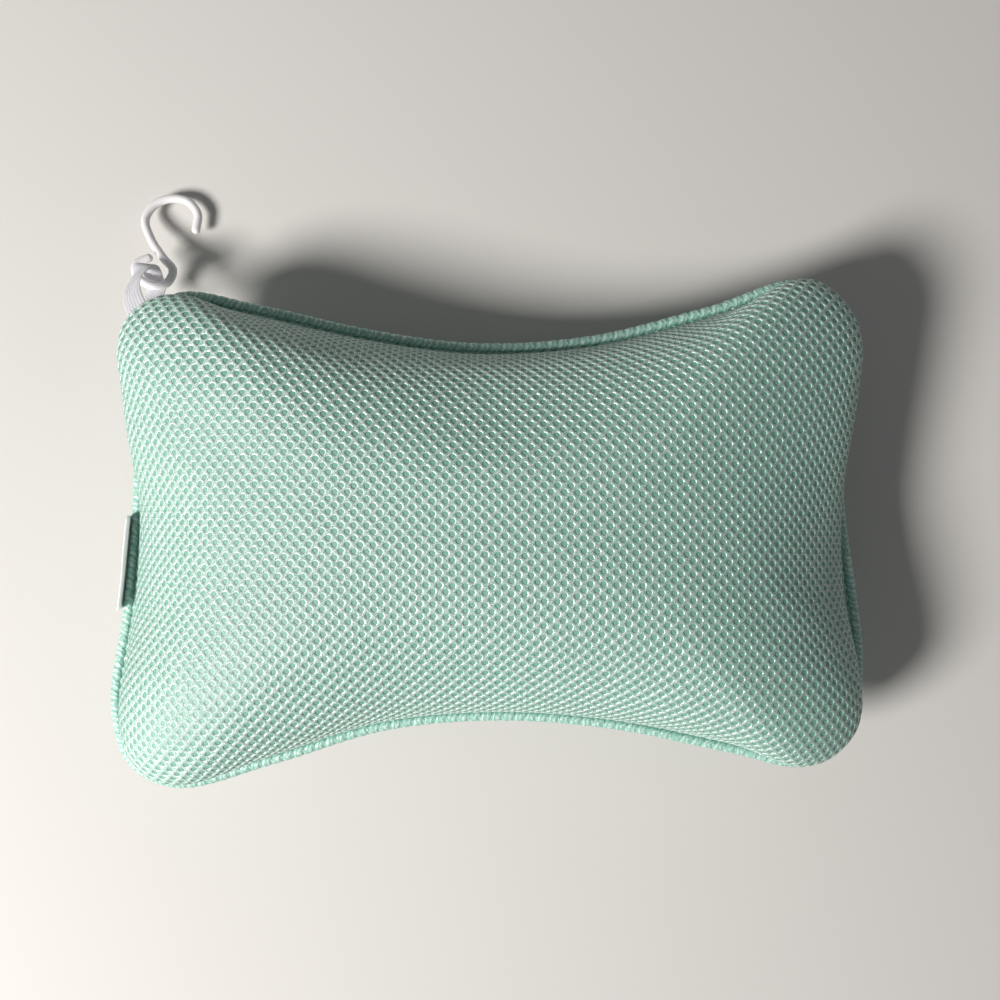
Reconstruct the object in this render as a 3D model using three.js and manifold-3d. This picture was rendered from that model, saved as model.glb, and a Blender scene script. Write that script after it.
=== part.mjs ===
// Bone-shaped bath pillow lying face up on its suction cups.
// Millimetres, X along the pillow, Y across it, Z up.
import * as THREE from 'three';
import Module from 'manifold-3d';
import { mergeVertices } from 'three/addons/utils/BufferGeometryUtils.js';

const wasm = await Module();
wasm.setup();

// The cushion between its sewn edges
const pillowLength = 342;
const pillowWidth = 230;
const largestSwell = 13;

// Outer edge of the seam seen from above, anticlockwise from the right waist, in shares of half
// the length and half the width, and how far the filled face swells out over it, in shares of
// the largest swell
const seamOutlineShares = [
  [0.9433, 0.1043, 0.27], [0.9503, 0.5217, 0.85], [0.9404, 0.8174, 0.96], [0.8333, 0.9913, 0.48],
  [0.5848, 0.8913, 0.15], [0.2807, 0.7783, 0.08], [-0.0234, 0.7478, 0.08], [-0.3041, 0.8, 0.08],
  [-0.6082, 0.9, 0.15], [-0.8187, 0.9478, 0.38], [-0.9269, 0.8261, 1.0], [-0.9357, 0.5217, 0.85],
  [-0.9386, 0.1217, 0.15], [-0.9649, -0.313, 0.04], [-0.9971, -0.6783, 0.12], [-0.9503, -0.913, 0.31],
  [-0.8246, -1.0043, 0.31], [-0.5614, -0.9087, 0.15], [-0.269, -0.7783, 0.08], [0.0351, -0.7391, 0.08],
  [0.3392, -0.7739, 0.08], [0.6433, -0.8652, 0.15], [0.848, -0.9174, 0.46], [0.9725, -0.7652, 0.62],
  [0.9953, -0.5043, 0.27], [0.9731, -0.1739, 0.0],
];
const stationCount = 64;

// Cushion heights
const seamHeight = 44;
const crownHeight = 94;
const bellyHeight = 9;
const coverThickness = 4;

// Sewn edge
const flangeThickness = 1.8;
const flangeGap = 0.3;
const edgeWrapThickness = 0.8;
const edgeWrapClearance = 0.3;
const edgeWrapInset = 3.4;
const seamWidth = 5;

// Crown of the cushion
const crownHalfLength = 64;
const crownHalfWidth = 9;
const crownOffset = 8;
const crownDroop = 3;
const waistFullness = 2.3;
const endFullness = 1.72;
const endReach = 3;
const swellPlaceShare = 0.8;
const domeRingShares = [0, 0.2, 0.4, 0.57, 0.72, 0.85, 0.94];

// Flatter underside
const bellyRingShares = [0, 0.36, 0.56, 0.72, 0.85, 0.94, 0.985];
const bellyFlatness = 4;
const bellyShoulder = 1.6;

const fillGap = 0.35;

// Suction cups and the eyelets that hold them
const cupLengthShare = 0.5556;
const cupWidthShare = 0.4348;
const cupLipRadius = 21;
const cupLipWidth = 1.5;
const cupRimHeight = 1.1;
const cupShoulderRadius = 14;
const cupShoulderShare = 0.58;
const cupTopRadius = 7;
const cupTopClearance = 0.4;
const cupNeckRadius = 3.2;
const cupDishShare = 0.46;
const cupDishRadius = 9;
const cupDishEdgeShare = 0.37;
const cupHeadRadius = 6.2;
const cupHeadThickness = 3.6;
const cupHeadChamfer = 1.4;
const cupHeadTopRadius = 3.4;
const turnedSegments = 24;
const eyeletBoreRadius = 3.6;
const eyeletBarrelRadius = 4.8;
const eyeletFlangeRadius = 7.5;
const eyeletFlangeThickness = 0.9;
const eyeletClearance = 0.3;
const eyeletSeatHeight = 11.2;
const eyeletGrip = 2.4;
const cupHeadClearance = 0.4;
const pocketClearance = 1.2;
const cutOverrun = 6;

// Corner where the webbing loop is sewn in
const strapRootShares = [-0.9208, 0.8508];

// Webbing loop: its centre line from that corner at seam height, its width at each point
// and the direction that width takes
const strapThickness = 1.1;
const strapPoints = [
  [0, 0, 0.2], [-5.8, 4.7, -2.8], [-10.4, 12.6, -8.8], [-9.8, 21.5, -13.6],
  [-5.2, 27.2, -16.2], [-1.6, 26.1, -19.6], [-1.2, 23.7, -25.8], [-3.8, 18.9, -27.2],
  [-8.2, 12.9, -24.6], [-6.8, 6.7, -13.8], [-1.3, 1.1, -2.6],
];
const strapWidths = [11, 11, 10.5, 9, 7.6, 7, 7, 9, 10.5, 11, 11];
const strapAcrossShares = [
  [0.38, 0.92, 0.00], [0.66, 0.70, 0.25], [0.72, 0.25, 0.60],
  [0.74, 0.40, 0.42], [0.68, 0.72, 0.12], [0.72, 0.70, 0.02],
  [0.75, 0.65, 0.00], [0.78, 0.62, 0.00], [0.74, 0.64, 0.05],
  [0.66, 0.74, 0.10], [0.38, 0.92, 0.00],
];
const strapStations = 48;

// Rod of the S hook from its open tip to the end of the closed eye, from the same corner
const hookRodRadius = 1.9;
const hookPoints = [
  [14.4, 51.1, -36.8], [15, 59.1, -37.6], [10, 65.3, -38], [2, 66.7, -38],
  [-5.8, 63.5, -37.4], [-9.8, 55.9, -36], [-6.3, 45.3, -32.6], [1, 34.5, -27.6],
  [7, 26.7, -23.8], [4.6, 20.5, -22.2], [-2.6, 19.3, -21.8], [-8.6, 23.5, -22.2],
  [-8.8, 29.5, -23.6], [-3.8, 31.1, -24.6],
];
const hookStations = 56;
const hookSides = 10;
const hookTipShares = [0.45, 0.8, 1];

// Folded label in the left seam, standing on edge and leaning outwards;
// its ends lie at shares of half the width
const labelBackShare = 0.0696;
const labelFrontShare = -0.2957;
const labelThickness = 0.9;
const labelSeat = 0.3;
const labelStations = 7;
const labelProfile = [[0, 0], [1.1, 0.9], [1.7, 3.4], [2.1, 7.2], [2.5, 11.6]];
const labelLean = 2.6;

const halfShare = 0.5;
const quarterShare = 0.25;
const mergeDistance = 0.0001;
const fullTurn = 2 * Math.PI;

const colours = {
  mesh: 0x9fd8c4, thread: 0x86cdb2, fill: 0xf3f3ef, webbing: 0xf4f3f6,
  hook: 0xf5f4f2, label: 0xf2f2f0, cup: 0xdfe8e6, eyelet: 0xe9ecea,
};

function finish(colour, roughness, metalness = 0) {
  return new THREE.MeshStandardMaterial({ color: colour, roughness, metalness });
}

function node(name, geometry, colour, roughness) {
  const mesh = new THREE.Mesh(geometry, finish(colour, roughness));
  mesh.name = name;
  return mesh;
}

// Closed skin over a stack of equal rings; the ends are capped or joined
function skin(rings, joined = false) {
  const size = rings[0].length;
  const positions = rings.flat().flatMap((p) => [p.x, p.y, p.z]);
  const faces = [];
  const last = joined ? rings.length : rings.length - 1;
  for (let r = 0; r < last; r += 1) {
    const next = (r + 1) % rings.length;
    for (let i = 0; i < size; i += 1) {
      const j = (i + 1) % size;
      const a = r * size + i;
      const b = r * size + j;
      const c = next * size + i;
      const d = next * size + j;
      faces.push(a, b, d, a, d, c);
    }
  }
  if (!joined) {
    capRing(faces, 0, size, true);
    capRing(faces, (rings.length - 1) * size, size, false);
  }
  const geometry = new THREE.BufferGeometry();
  geometry.setAttribute('position', new THREE.Float32BufferAttribute(positions, 3));
  geometry.setIndex(faces);
  return geometry;
}

// Strip between the two halves of a ring
function capRing(faces, first, size, flip) {
  for (let i = 0; i < size / 2; i += 1) {
    const a = first + i;
    const b = first + i + 1;
    const c = first + (size - i) % size;
    const d = first + size - i - 1;
    const corners = [[a, b, d], [a, d, c]];
    for (const [p, q, r] of corners) {
      if (p === q || q === r || p === r) {
        continue;
      }
      faces.push(...(flip ? [p, r, q] : [p, q, r]));
    }
  }
}

function toManifold(geometry) {
  const clean = geometry.clone();
  clean.deleteAttribute('normal');
  clean.deleteAttribute('uv');
  const merged = mergeVertices(clean, mergeDistance);
  const mesh = new wasm.Mesh({
    numProp: 3,
    vertProperties: new Float32Array(merged.attributes.position.array),
    triVerts: new Uint32Array(merged.index.array),
  });
  return new wasm.Manifold(mesh);
}

function fromManifold(solid) {
  const mesh = solid.getMesh();
  const geometry = new THREE.BufferGeometry();
  geometry.setAttribute('position', new THREE.BufferAttribute(mesh.vertProperties, 3));
  geometry.setIndex(new THREE.BufferAttribute(mesh.triVerts, 1));
  return geometry;
}

// Place in the plan from shares of half the length and half the width
function planPlace([lengthShare, widthShare]) {
  return [lengthShare * pillowLength * halfShare, widthShare * pillowWidth * halfShare];
}

// Seam stations: outer point, outward normal, swell over it and how far it faces the pillow's end
function seamStations() {
  const points = seamOutlineShares.map(([lengthShare, widthShare, swellShare]) => new THREE.Vector3(
    ...planPlace([lengthShare, widthShare]),
    swellShare * largestSwell,
  ));
  const curve = new THREE.CatmullRomCurve3(points, true, 'centripetal');
  const spaced = curve.getSpacedPoints(stationCount).slice(0, stationCount);
  const edge = spaced.map((place, i) => {
    const before = spaced[(i + stationCount - 1) % stationCount];
    const after = spaced[(i + 1) % stationCount];
    const along = after.clone().sub(before).setZ(0).normalize();
    const outward = new THREE.Vector3(along.y, -along.x, 0);
    return { point: new THREE.Vector3(place.x, place.y, 0), outward, swell: place.z };
  });
  return edge.map((station, i) => ({ ...station, endness: endWeight(edge, i) }));
}

// How far a station faces the pillow's end, 0 to 1, averaged over its neighbours
function endWeight(edge, i) {
  let sum = 0;
  let weights = 0;
  for (let k = -endReach; k <= endReach; k += 1) {
    const { outward } = edge[(i + k + stationCount) % stationCount];
    const weight = 1 + endReach - Math.abs(k);
    sum += weight * outward.x * outward.x;
    weights += weight;
  }
  return sum / weights;
}

const stations = seamStations();

// Half the height of the stitched wrap, and where the face starts to swell over it
const edgeHalfHeight = flangeGap * halfShare + flangeThickness + edgeWrapClearance + edgeWrapThickness;
const edgeTop = seamHeight + edgeHalfHeight + edgeWrapClearance;

function seamRing(inset, z) {
  return stations.map(({ point, outward }) => {
    const p = point.clone().addScaledVector(outward, -inset);
    p.z = z;
    return p;
  });
}

// One ring of a swelling side: share 0 is the crown's loop, 1 the stitch line
function swellRing(inset, share, heightAt) {
  return stations.map((station, i) => {
    const edge = station.point.clone().addScaledVector(station.outward, -inset);
    const turn = (fullTurn * i) / stationCount;
    const middle = new THREE.Vector3(crownHalfLength * Math.cos(turn), crownHalfWidth * Math.sin(turn), 0);
    const along = middle.x / crownHalfLength;
    middle.y += crownOffset;
    const { reach, z, bulge } = heightAt(station, share, along);
    const p = middle.lerp(edge, reach).addScaledVector(station.outward, bulge);
    p.z = z;
    return p;
  });
}

// Upper dome from just over the sewn edge to a crown of this height, swelling out over the seam
function domeAt(crown) {
  const bend = Math.log(halfShare) / Math.log(swellPlaceShare);
  return (station, share, along) => {
    const fullness = THREE.MathUtils.lerp(waistFullness, endFullness, station.endness);
    const power = 2 / fullness;
    const angle = share * fullTurn * quarterShare;
    const droop = crownDroop * along * along;
    return {
      reach: Math.pow(Math.sin(angle), power),
      z: edgeTop + (crown - edgeTop - droop) * Math.pow(Math.cos(angle), power),
      bulge: station.swell * Math.sin(Math.PI * Math.pow(share, bend)),
    };
  };
}

// Flat-bottomed belly below the seam
function bellyAt(base, drop) {
  return (station, share) => {
    const level = Math.pow(1 - Math.pow(share, bellyFlatness), 1 / bellyShoulder);
    return { reach: share, z: base - drop * level, bulge: 0 };
  };
}

function shellRings(shares, shapeAt, inset, lower) {
  const rings = shares.map((share) => swellRing(inset, share, shapeAt));
  return lower ? rings.reverse() : rings;
}

// Cover panel with its sewn flange; side is 1 for the face and -1 for the back
function coverPanel(side) {
  const shares = side > 0 ? domeRingShares : bellyRingShares;
  const near = seamHeight + side * flangeGap * halfShare;
  const far = near + side * flangeThickness;
  const edgeInset = edgeWrapThickness + edgeWrapClearance;
  const innerInset = seamWidth + coverThickness;
  const outerShape = side > 0 ? domeAt(crownHeight) : bellyAt(far, far - bellyHeight);
  const innerShape = side > 0
    ? domeAt(crownHeight - coverThickness)
    : bellyAt(near, near - bellyHeight - coverThickness);
  const rings = [
    ...shellRings(shares, outerShape, seamWidth, false),
    ...(side > 0 ? [seamRing(seamWidth, edgeTop)] : []),
    seamRing(seamWidth, far),
    seamRing(edgeInset, far),
    seamRing(edgeInset, near),
    seamRing(innerInset, side > 0 ? edgeTop : near),
    ...shellRings(shares, innerShape, innerInset, true),
  ];
  return skin(side > 0 ? rings.reverse() : rings);
}

// Stitched wrap round the raw edges of both flanges
function edgeOverlock() {
  const half = edgeHalfHeight - edgeWrapThickness;
  const full = edgeHalfHeight;
  const back = edgeWrapInset + edgeWrapThickness;
  const rings = [
    seamRing(0, seamHeight - full), seamRing(0, seamHeight + full),
    seamRing(back, seamHeight + full), seamRing(back, seamHeight + half),
    seamRing(edgeWrapThickness, seamHeight + half), seamRing(edgeWrapThickness, seamHeight - half),
    seamRing(back, seamHeight - half), seamRing(back, seamHeight - full),
  ];
  return skin(rings, true);
}

function fillCore() {
  const inset = seamWidth + coverThickness + fillGap;
  const upper = domeAt(crownHeight - coverThickness - fillGap);
  const lower = bellyAt(seamHeight, seamHeight - bellyHeight - coverThickness - fillGap);
  const rings = [
    ...shellRings(domeRingShares, upper, inset, false),
    seamRing(inset, edgeTop),
    ...shellRings(bellyRingShares, lower, inset, true),
  ];
  return skin(rings);
}

// Solid turned about a vertical axis from [radius, height] points
function turned(profile) {
  const points = profile.map(([radius, height]) => new THREE.Vector2(radius, height));
  const geometry = new THREE.LatheGeometry(points, turnedSegments);
  geometry.deleteAttribute('normal');
  geometry.deleteAttribute('uv');
  geometry.rotateX(fullTurn * quarterShare);
  return mergeVertices(geometry, mergeDistance);
}

function cupGeometry() {
  const headBase = eyeletSeatHeight + eyeletGrip + eyeletClearance
    + eyeletFlangeThickness + cupHeadClearance;
  const headTop = headBase + cupHeadThickness;
  const bellTop = eyeletSeatHeight - eyeletClearance - eyeletFlangeThickness - cupTopClearance;
  return turned([
    [0, bellTop * cupDishShare], [cupDishRadius, bellTop * cupDishEdgeShare],
    [cupLipRadius - cupLipWidth, 0], [cupLipRadius, 0], [cupLipRadius, cupRimHeight],
    [cupShoulderRadius, bellTop * cupShoulderShare], [cupTopRadius, bellTop],
    [cupNeckRadius, bellTop], [cupNeckRadius, headBase], [cupHeadRadius, headBase],
    [cupHeadRadius, headTop - cupHeadChamfer], [cupHeadTopRadius, headTop], [0, headTop],
  ]);
}

function eyeletGeometry() {
  const low = eyeletSeatHeight - eyeletClearance;
  const high = eyeletSeatHeight + eyeletGrip + eyeletClearance;
  return turned([
    [eyeletBoreRadius, low - eyeletFlangeThickness], [eyeletFlangeRadius, low - eyeletFlangeThickness],
    [eyeletFlangeRadius, low], [eyeletBarrelRadius, low], [eyeletBarrelRadius, high],
    [eyeletFlangeRadius, high], [eyeletFlangeRadius, high + eyeletFlangeThickness],
    [eyeletBoreRadius, high + eyeletFlangeThickness],
    [eyeletBoreRadius, low - eyeletFlangeThickness],
  ]);
}

function cupCentres() {
  const corners = [[1, 1], [-1, 1], [-1, -1], [1, -1]];
  return corners.map(([sx, sy]) => planPlace([sx * cupLengthShare, sy * cupWidthShare]));
}

function upright(radius, low, high, [x, y]) {
  const height = high - low;
  const middle = low + height * halfShare;
  return wasm.Manifold.cylinder(height, radius, radius, turnedSegments, true).translate([x, y, middle]);
}

// Hole and flattened seats for each eyelet
function cutSeats(panel) {
  let solid = toManifold(panel);
  const top = eyeletSeatHeight + eyeletGrip;
  const seatRadius = eyeletFlangeRadius + eyeletClearance;
  const holeRadius = eyeletBarrelRadius + eyeletClearance;
  for (const centre of cupCentres()) {
    solid = solid.subtract(upright(holeRadius, 0, top + cutOverrun, centre));
    solid = solid.subtract(upright(seatRadius, 0, eyeletSeatHeight, centre));
    solid = solid.subtract(upright(seatRadius, top, top + cutOverrun, centre));
  }
  return fromManifold(solid);
}

// Pockets in the filling where the cup heads press into it
function cutPockets(core) {
  let solid = toManifold(core);
  const top = eyeletSeatHeight + eyeletGrip + eyeletClearance + eyeletFlangeThickness
    + cupHeadClearance + cupHeadThickness + pocketClearance;
  for (const centre of cupCentres()) {
    solid = solid.subtract(upright(eyeletFlangeRadius + pocketClearance, 0, top, centre));
  }
  return fromManifold(solid);
}

// Smooth line through points given from the strap's corner at seam height
function cornerCurve(values, closed) {
  const corner = new THREE.Vector3(...planPlace(strapRootShares), seamHeight);
  const points = values.map((place) => new THREE.Vector3(...place).add(corner));
  return new THREE.CatmullRomCurve3(points, closed, 'centripetal');
}

// Webbing swept round the loop, flat across its width
function strapGeometry() {
  const line = cornerCurve(strapPoints, true);
  const sides = strapAcrossShares.map((side) => new THREE.Vector3(...side));
  const rings = [];
  for (let i = 0; i < strapStations; i += 1) {
    const t = i / strapStations;
    const centre = line.getPoint(t);
    const along = line.getTangent(t);
    const place = t * sides.length;
    const low = Math.floor(place);
    const high = (low + 1) % sides.length;
    const across = sides[low].clone().lerp(sides[high], place - low);
    const width = THREE.MathUtils.lerp(strapWidths[low], strapWidths[high], place - low);
    across.addScaledVector(along, -across.dot(along)).normalize();
    const up = across.clone().cross(along);
    rings.push(band(centre, across, up, width, strapThickness));
  }
  return skin(rings, true);
}

function band(centre, across, up, width, thickness) {
  const corners = [[-1, -1], [1, -1], [1, 1], [-1, 1]];
  return corners.map(([sx, sy]) => centre.clone()
    .addScaledVector(across, sx * width * halfShare)
    .addScaledVector(up, sy * thickness * halfShare));
}

// Round rod with rounded ends
function hookGeometry() {
  const curve = cornerCurve(hookPoints, false);
  const spaced = curve.getSpacedPoints(hookStations);
  const rings = [];
  for (let i = 0; i <= hookStations; i += 1) {
    const along = curve.getTangentAt(i / hookStations);
    const up = new THREE.Vector3(0, 0, 1).addScaledVector(along, -along.z).normalize();
    const fromEnd = Math.min(i, hookStations - i);
    const share = fromEnd < hookTipShares.length ? hookTipShares[fromEnd] : 1;
    rings.push(rodRing(spaced[i], along, up, hookRodRadius * share));
  }
  return skin(rings);
}

function rodRing(centre, along, up, radius) {
  const side = along.clone().cross(up);
  return Array.from({ length: hookSides }, (_, k) => {
    const angle = (k * fullTurn) / hookSides;
    return centre.clone()
      .addScaledVector(side, radius * Math.cos(angle))
      .addScaledVector(up, radius * Math.sin(angle));
  });
}

// Left seam edge at a given y, from the two nearest stations
function leftEdgeX(y) {
  for (let i = 0; i < stationCount; i += 1) {
    const a = stations[i].point;
    const b = stations[(i + 1) % stationCount].point;
    if (a.x < 0 && b.x < 0 && (a.y - y) * (b.y - y) <= 0 && a.y > b.y) {
      return THREE.MathUtils.lerp(a.x, b.x, (a.y - y) / (a.y - b.y));
    }
  }
  return -pillowLength * halfShare;
}

// Folded label: its root touches the sewn edge, its free edge leans outwards
function labelGeometry() {
  const rings = [];
  for (let i = 0; i < labelStations; i += 1) {
    const share = i / (labelStations - 1);
    const y = THREE.MathUtils.lerp(labelBackShare, labelFrontShare, share) * pillowWidth * halfShare;
    const root = leftEdgeX(y) - labelSeat;
    const outer = [];
    const inner = [];
    labelProfile.forEach(([out, rise], k) => {
      const lean = labelLean * share * k / (labelProfile.length - 1);
      const x = root - out - lean;
      inner.push(new THREE.Vector3(x, y, seamHeight + rise + (k === 0 ? 0 : labelThickness)));
      outer.push(new THREE.Vector3(x - (k === 0 ? 0 : labelThickness), y, seamHeight + rise
        - (k === 0 ? labelThickness : 0)));
    });
    rings.push([...inner, ...outer.reverse()]);
  }
  return skin(rings);
}

function orient(geometry) {
  const solid = toManifold(geometry);
  if (solid.volume() > 0) {
    return fromManifold(solid);
  }
  const index = geometry.index.array;
  for (let i = 0; i < index.length; i += 3) {
    [index[i], index[i + 1]] = [index[i + 1], index[i]];
  }
  return fromManifold(toManifold(geometry));
}

function build() {
  const group = new THREE.Group();
  group.name = 'bath_pillow';
  const softRoughness = 0.85;
  const plasticRoughness = 0.3;
  const clearRoughness = 0.12;
  group.add(
    node('top_panel', orient(coverPanel(1)), colours.mesh, softRoughness),
    node('back_panel', cutSeats(orient(coverPanel(-1))), colours.mesh, softRoughness),
    node('edge_overlock', orient(edgeOverlock()), colours.thread, softRoughness),
    node('fibre_fill', cutPockets(orient(fillCore())), colours.fill, softRoughness),
    node('hanging_strap', orient(strapGeometry()), colours.webbing, softRoughness),
    node('s_hook', orient(hookGeometry()), colours.hook, plasticRoughness),
    node('side_label', orient(labelGeometry()), colours.label, softRoughness),
  );
  cupCentres().forEach(([x, y], i) => {
    const cup = cupGeometry().translate(x, y, 0);
    const eyelet = eyeletGeometry().translate(x, y, 0);
    group.add(node(`suction_cup_${i + 1}`, orient(cup), colours.cup, clearRoughness));
    group.add(node(`cup_eyelet_${i + 1}`, orient(eyelet), colours.eyelet, plasticRoughness));
  });
  centre(group);
  return group;
}

// Origin at the middle of the box that holds the whole part, on the floor
function centre(group) {
  const box = new THREE.Box3().setFromObject(group);
  const middle = box.getCenter(new THREE.Vector3());
  for (const mesh of group.children) {
    mesh.geometry.translate(-middle.x, -middle.y, -box.min.z);
  }
}

export default build();
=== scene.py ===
import math
from functools import partial

import bmesh
import bpy
import numpy as np
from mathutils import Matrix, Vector


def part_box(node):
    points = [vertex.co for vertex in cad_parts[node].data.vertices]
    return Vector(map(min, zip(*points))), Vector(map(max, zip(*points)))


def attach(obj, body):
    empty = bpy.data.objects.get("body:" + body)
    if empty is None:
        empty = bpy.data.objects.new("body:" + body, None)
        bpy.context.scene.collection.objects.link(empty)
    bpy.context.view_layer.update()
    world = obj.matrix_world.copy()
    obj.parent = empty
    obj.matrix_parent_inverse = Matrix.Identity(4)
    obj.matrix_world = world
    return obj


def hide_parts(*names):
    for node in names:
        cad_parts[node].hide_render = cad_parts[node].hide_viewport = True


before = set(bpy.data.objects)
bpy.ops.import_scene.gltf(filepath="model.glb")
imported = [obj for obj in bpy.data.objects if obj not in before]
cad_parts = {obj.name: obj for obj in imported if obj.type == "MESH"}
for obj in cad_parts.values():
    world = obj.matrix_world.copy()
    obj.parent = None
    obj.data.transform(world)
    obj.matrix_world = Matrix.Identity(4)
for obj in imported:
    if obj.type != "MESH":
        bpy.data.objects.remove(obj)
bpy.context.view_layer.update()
scene = bpy.context.scene
mm = 0.001


def linear(hexColour):
    channels = [int(hexColour[i:i + 2], 16) / 255 for i in (1, 3, 5)]
    return [c / 12.92 if c <= 0.04045 else ((c + 0.055) / 1.055) ** 2.4 for c in channels] + [1]


def feed(node, links):
    # each input gets a value, or a link from an output or from another node's first output
    for socket, value in links.items() if isinstance(links, dict) else enumerate(links):
        if isinstance(value, bpy.types.Node):
            value = value.outputs[0]
        if isinstance(value, bpy.types.NodeSocket):
            node.id_data.links.new(value, node.inputs[socket])
        else:
            node.inputs[socket].default_value = value


def addNode(tree, kind, links=(), **settings):
    # its inputs are given in order, or by name or number in a dictionary
    made = tree.nodes.new(kind)
    for name, value in settings.items():
        setattr(made, name, value)
    feed(made, links)
    return made


def newTree(name, inputs):
    # a Geometry Nodes tree, what comes in by its named inputs, and what adds a node to it
    tree = bpy.data.node_groups.new(name, "GeometryNodeTree")
    tree.interface.new_socket("Geometry", in_out="OUTPUT", socket_type="NodeSocketGeometry")
    for label, kind in inputs.items():
        tree.interface.new_socket(label, in_out="INPUT", socket_type="NodeSocket" + kind)
    add = partial(addNode, tree)
    return tree, add("NodeGroupInput").outputs, add


def newMaterial(name):
    # a material, its shader, and what adds a node to it
    made = bpy.data.materials.new(name)
    made.use_nodes = True
    return made, made.node_tree.nodes["Principled BSDF"], partial(addNode, made.node_tree)


def perMetre(size):
    # the scale of a pattern whose features measure this many mm
    return 1 / (size * mm)


eased = {"interpolation_type": "SMOOTHSTEP"}
colours = {"data_type": "RGBA"}            # a Mix node then blends inputs 6 and 7 into output 2


def meshObject(name, verts, faces, material=None, smooth=True):
    mesh = bpy.data.meshes.new(name)
    mesh.from_pydata([tuple(v) for v in verts], [], [tuple(int(i) for i in f) for f in faces])
    mesh.update()
    if material:
        mesh.materials.append(material)
    if smooth:
        mesh.shade_smooth()
    made = bpy.data.objects.new(name, mesh)
    scene.collection.objects.link(made)
    return made


def settled(obj):
    # the object's live modifiers become its plain mesh
    graph = bpy.context.evaluated_depsgraph_get()
    mesh = bpy.data.meshes.new_from_object(
        obj.evaluated_get(graph), preserve_all_data_layers=True, depsgraph=graph)
    obj.modifiers.clear()
    obj.data = mesh
    return obj


def triples(items, field="co"):
    # the places, normals or values of a mesh's points
    found = np.zeros(len(items) * 3)
    items.foreach_get(field, found)
    return found.reshape(-1, 3)


def cornerPoints(mesh):
    # which point each corner of a face lies on
    found = np.zeros(len(mesh.loops), int)
    mesh.loops.foreach_get("vertex_index", found)
    return found


def closeness(points, centre, radius, reach):
    # 1 within the radius round an upright axis, falling softly to 0 at the reach
    far = np.hypot(points[:, 0] - centre[0], points[:, 1] - centre[1])
    share = np.clip((reach - far) / (reach - radius), 0, 1)
    return share * share * (3 - 2 * share)


def smoothLine(points, closed, steps=16):
    # centripetal Catmull-Rom line through the points
    points = np.array(points, float)
    if closed:
        line = np.vstack([points[-1:], points, points[:2]])
    else:
        line = np.vstack([2 * points[0] - points[1], points, 2 * points[-1] - points[-2]])
    t = np.linspace(0, 1, steps, endpoint=False)[:, None]
    parts = []
    for p0, p1, p2, p3 in zip(line, line[1:], line[2:], line[3:]):
        d0, d1, d2 = (max(np.linalg.norm(b - a) ** 0.5, 1e-6) for a, b in ((p0, p1), (p1, p2), (p2, p3)))
        go = ((p1 - p0) / d0 - (p2 - p0) / (d0 + d1) + (p2 - p1) / d1) * d1
        come = ((p2 - p1) / d1 - (p3 - p1) / (d1 + d2) + (p3 - p2) / d2) * d1
        parts.append(p1 + go * t + (3 * (p2 - p1) - 2 * go - come) * t ** 2
                     + (2 * (p1 - p2) + go + come) * t ** 3)
    if not closed:
        parts.append(points[-1:])
    return np.vstack(parts)


def evenly(line, count, closed, depth=3):
    # points at equal steps along the line; depth is how many columns count as length
    ring = np.vstack([line, line[:1]]) if closed else line
    run = np.concatenate([[0], np.cumsum(np.linalg.norm(np.diff(ring[:, :depth], axis=0), axis=1))])
    marks = np.linspace(0, run[-1], count, endpoint=not closed)
    return np.stack([np.interp(marks, run, ring[:, k]) for k in range(ring.shape[1])], 1)


def tangents(line, closed):
    if closed:
        step = np.roll(line, -1, 0) - np.roll(line, 1, 0)
    else:
        step = np.gradient(line, axis=0)
    return step / np.linalg.norm(step, axis=1)[:, None]


def ringFaces(rings, size, joined=False):
    faces = []
    for r in range(rings if joined else rings - 1):
        below = ((r + 1) % rings) * size
        for i in range(size):
            j = (i + 1) % size
            faces.append((r * size + i, below + i, below + j, r * size + j))
    return faces


# the swollen body that both panels lie on
cushion = {
    # outer edge of the seam, anticlockwise from the right waist, and how far the filled face
    # swells out above it, mm
    "seam": [
        (162.6, 6, 4.5), (161.4, 32, 8.5), (162.5, 62, 12), (161.5, 95, 13), (144, 114.5, 7.3),
        (100, 102.5, 0), (48, 89.5, -1.8), (-4, 86, -2), (-52, 92, -1.8), (-104, 103.5, 0),
        (-140, 109, 5), (-158.5, 95, 12.5), (-160, 60, 11), (-160.3, 36, 7.5), (-160.5, 14, 2.5),
        (-165, -36, 0), (-170.5, -78, 1.5), (-162.5, -105, 4), (-141, -115.5, 4), (-96, -104.5, 1.5),
        (-46, -89.5, 0), (6, -85, 0), (58, -89, 0), (110, -99.5, 1.5), (145, -105.5, 6),
        (166.3, -88, 8), (170.2, -58, 3.5), (166.6, -22, -0.5),
    ],
    "seamHeight": 44, "flange": 1.95,      # flange: a panel's outer face over the seam's middle plane
    "crownHeight": 91.5, "bellyHeight": 9.6,
    "seamInset": 5.0,                      # how far inside the seam's edge the cover begins to swell
    "crownHalfLength": 64, "crownHalfWidth": 9, "crownOffset": 8, "crownDroop": 3,
    "waistFullness": 2.3, "endFullness": 1.72,         # superellipse powers of the side's section
    "swellPlace": 0.8,                     # how far down the side it swells most, 0 crown to 1 seam
    "bellyFlatness": 4, "bellyShoulder": 1.6,
    "stations": 144, "domeRings": 26, "bellyRings": 20,
    "cupReach": (95, 50),
}

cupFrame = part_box("suction_cup_1")
cupReach = cushion["cupReach"]
shiftX = (cupFrame[0].x + cupFrame[1].x) / 2 / mm - cupReach[0]
shiftY = (cupFrame[0].y + cupFrame[1].y) / 2 / mm - cupReach[1]


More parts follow.
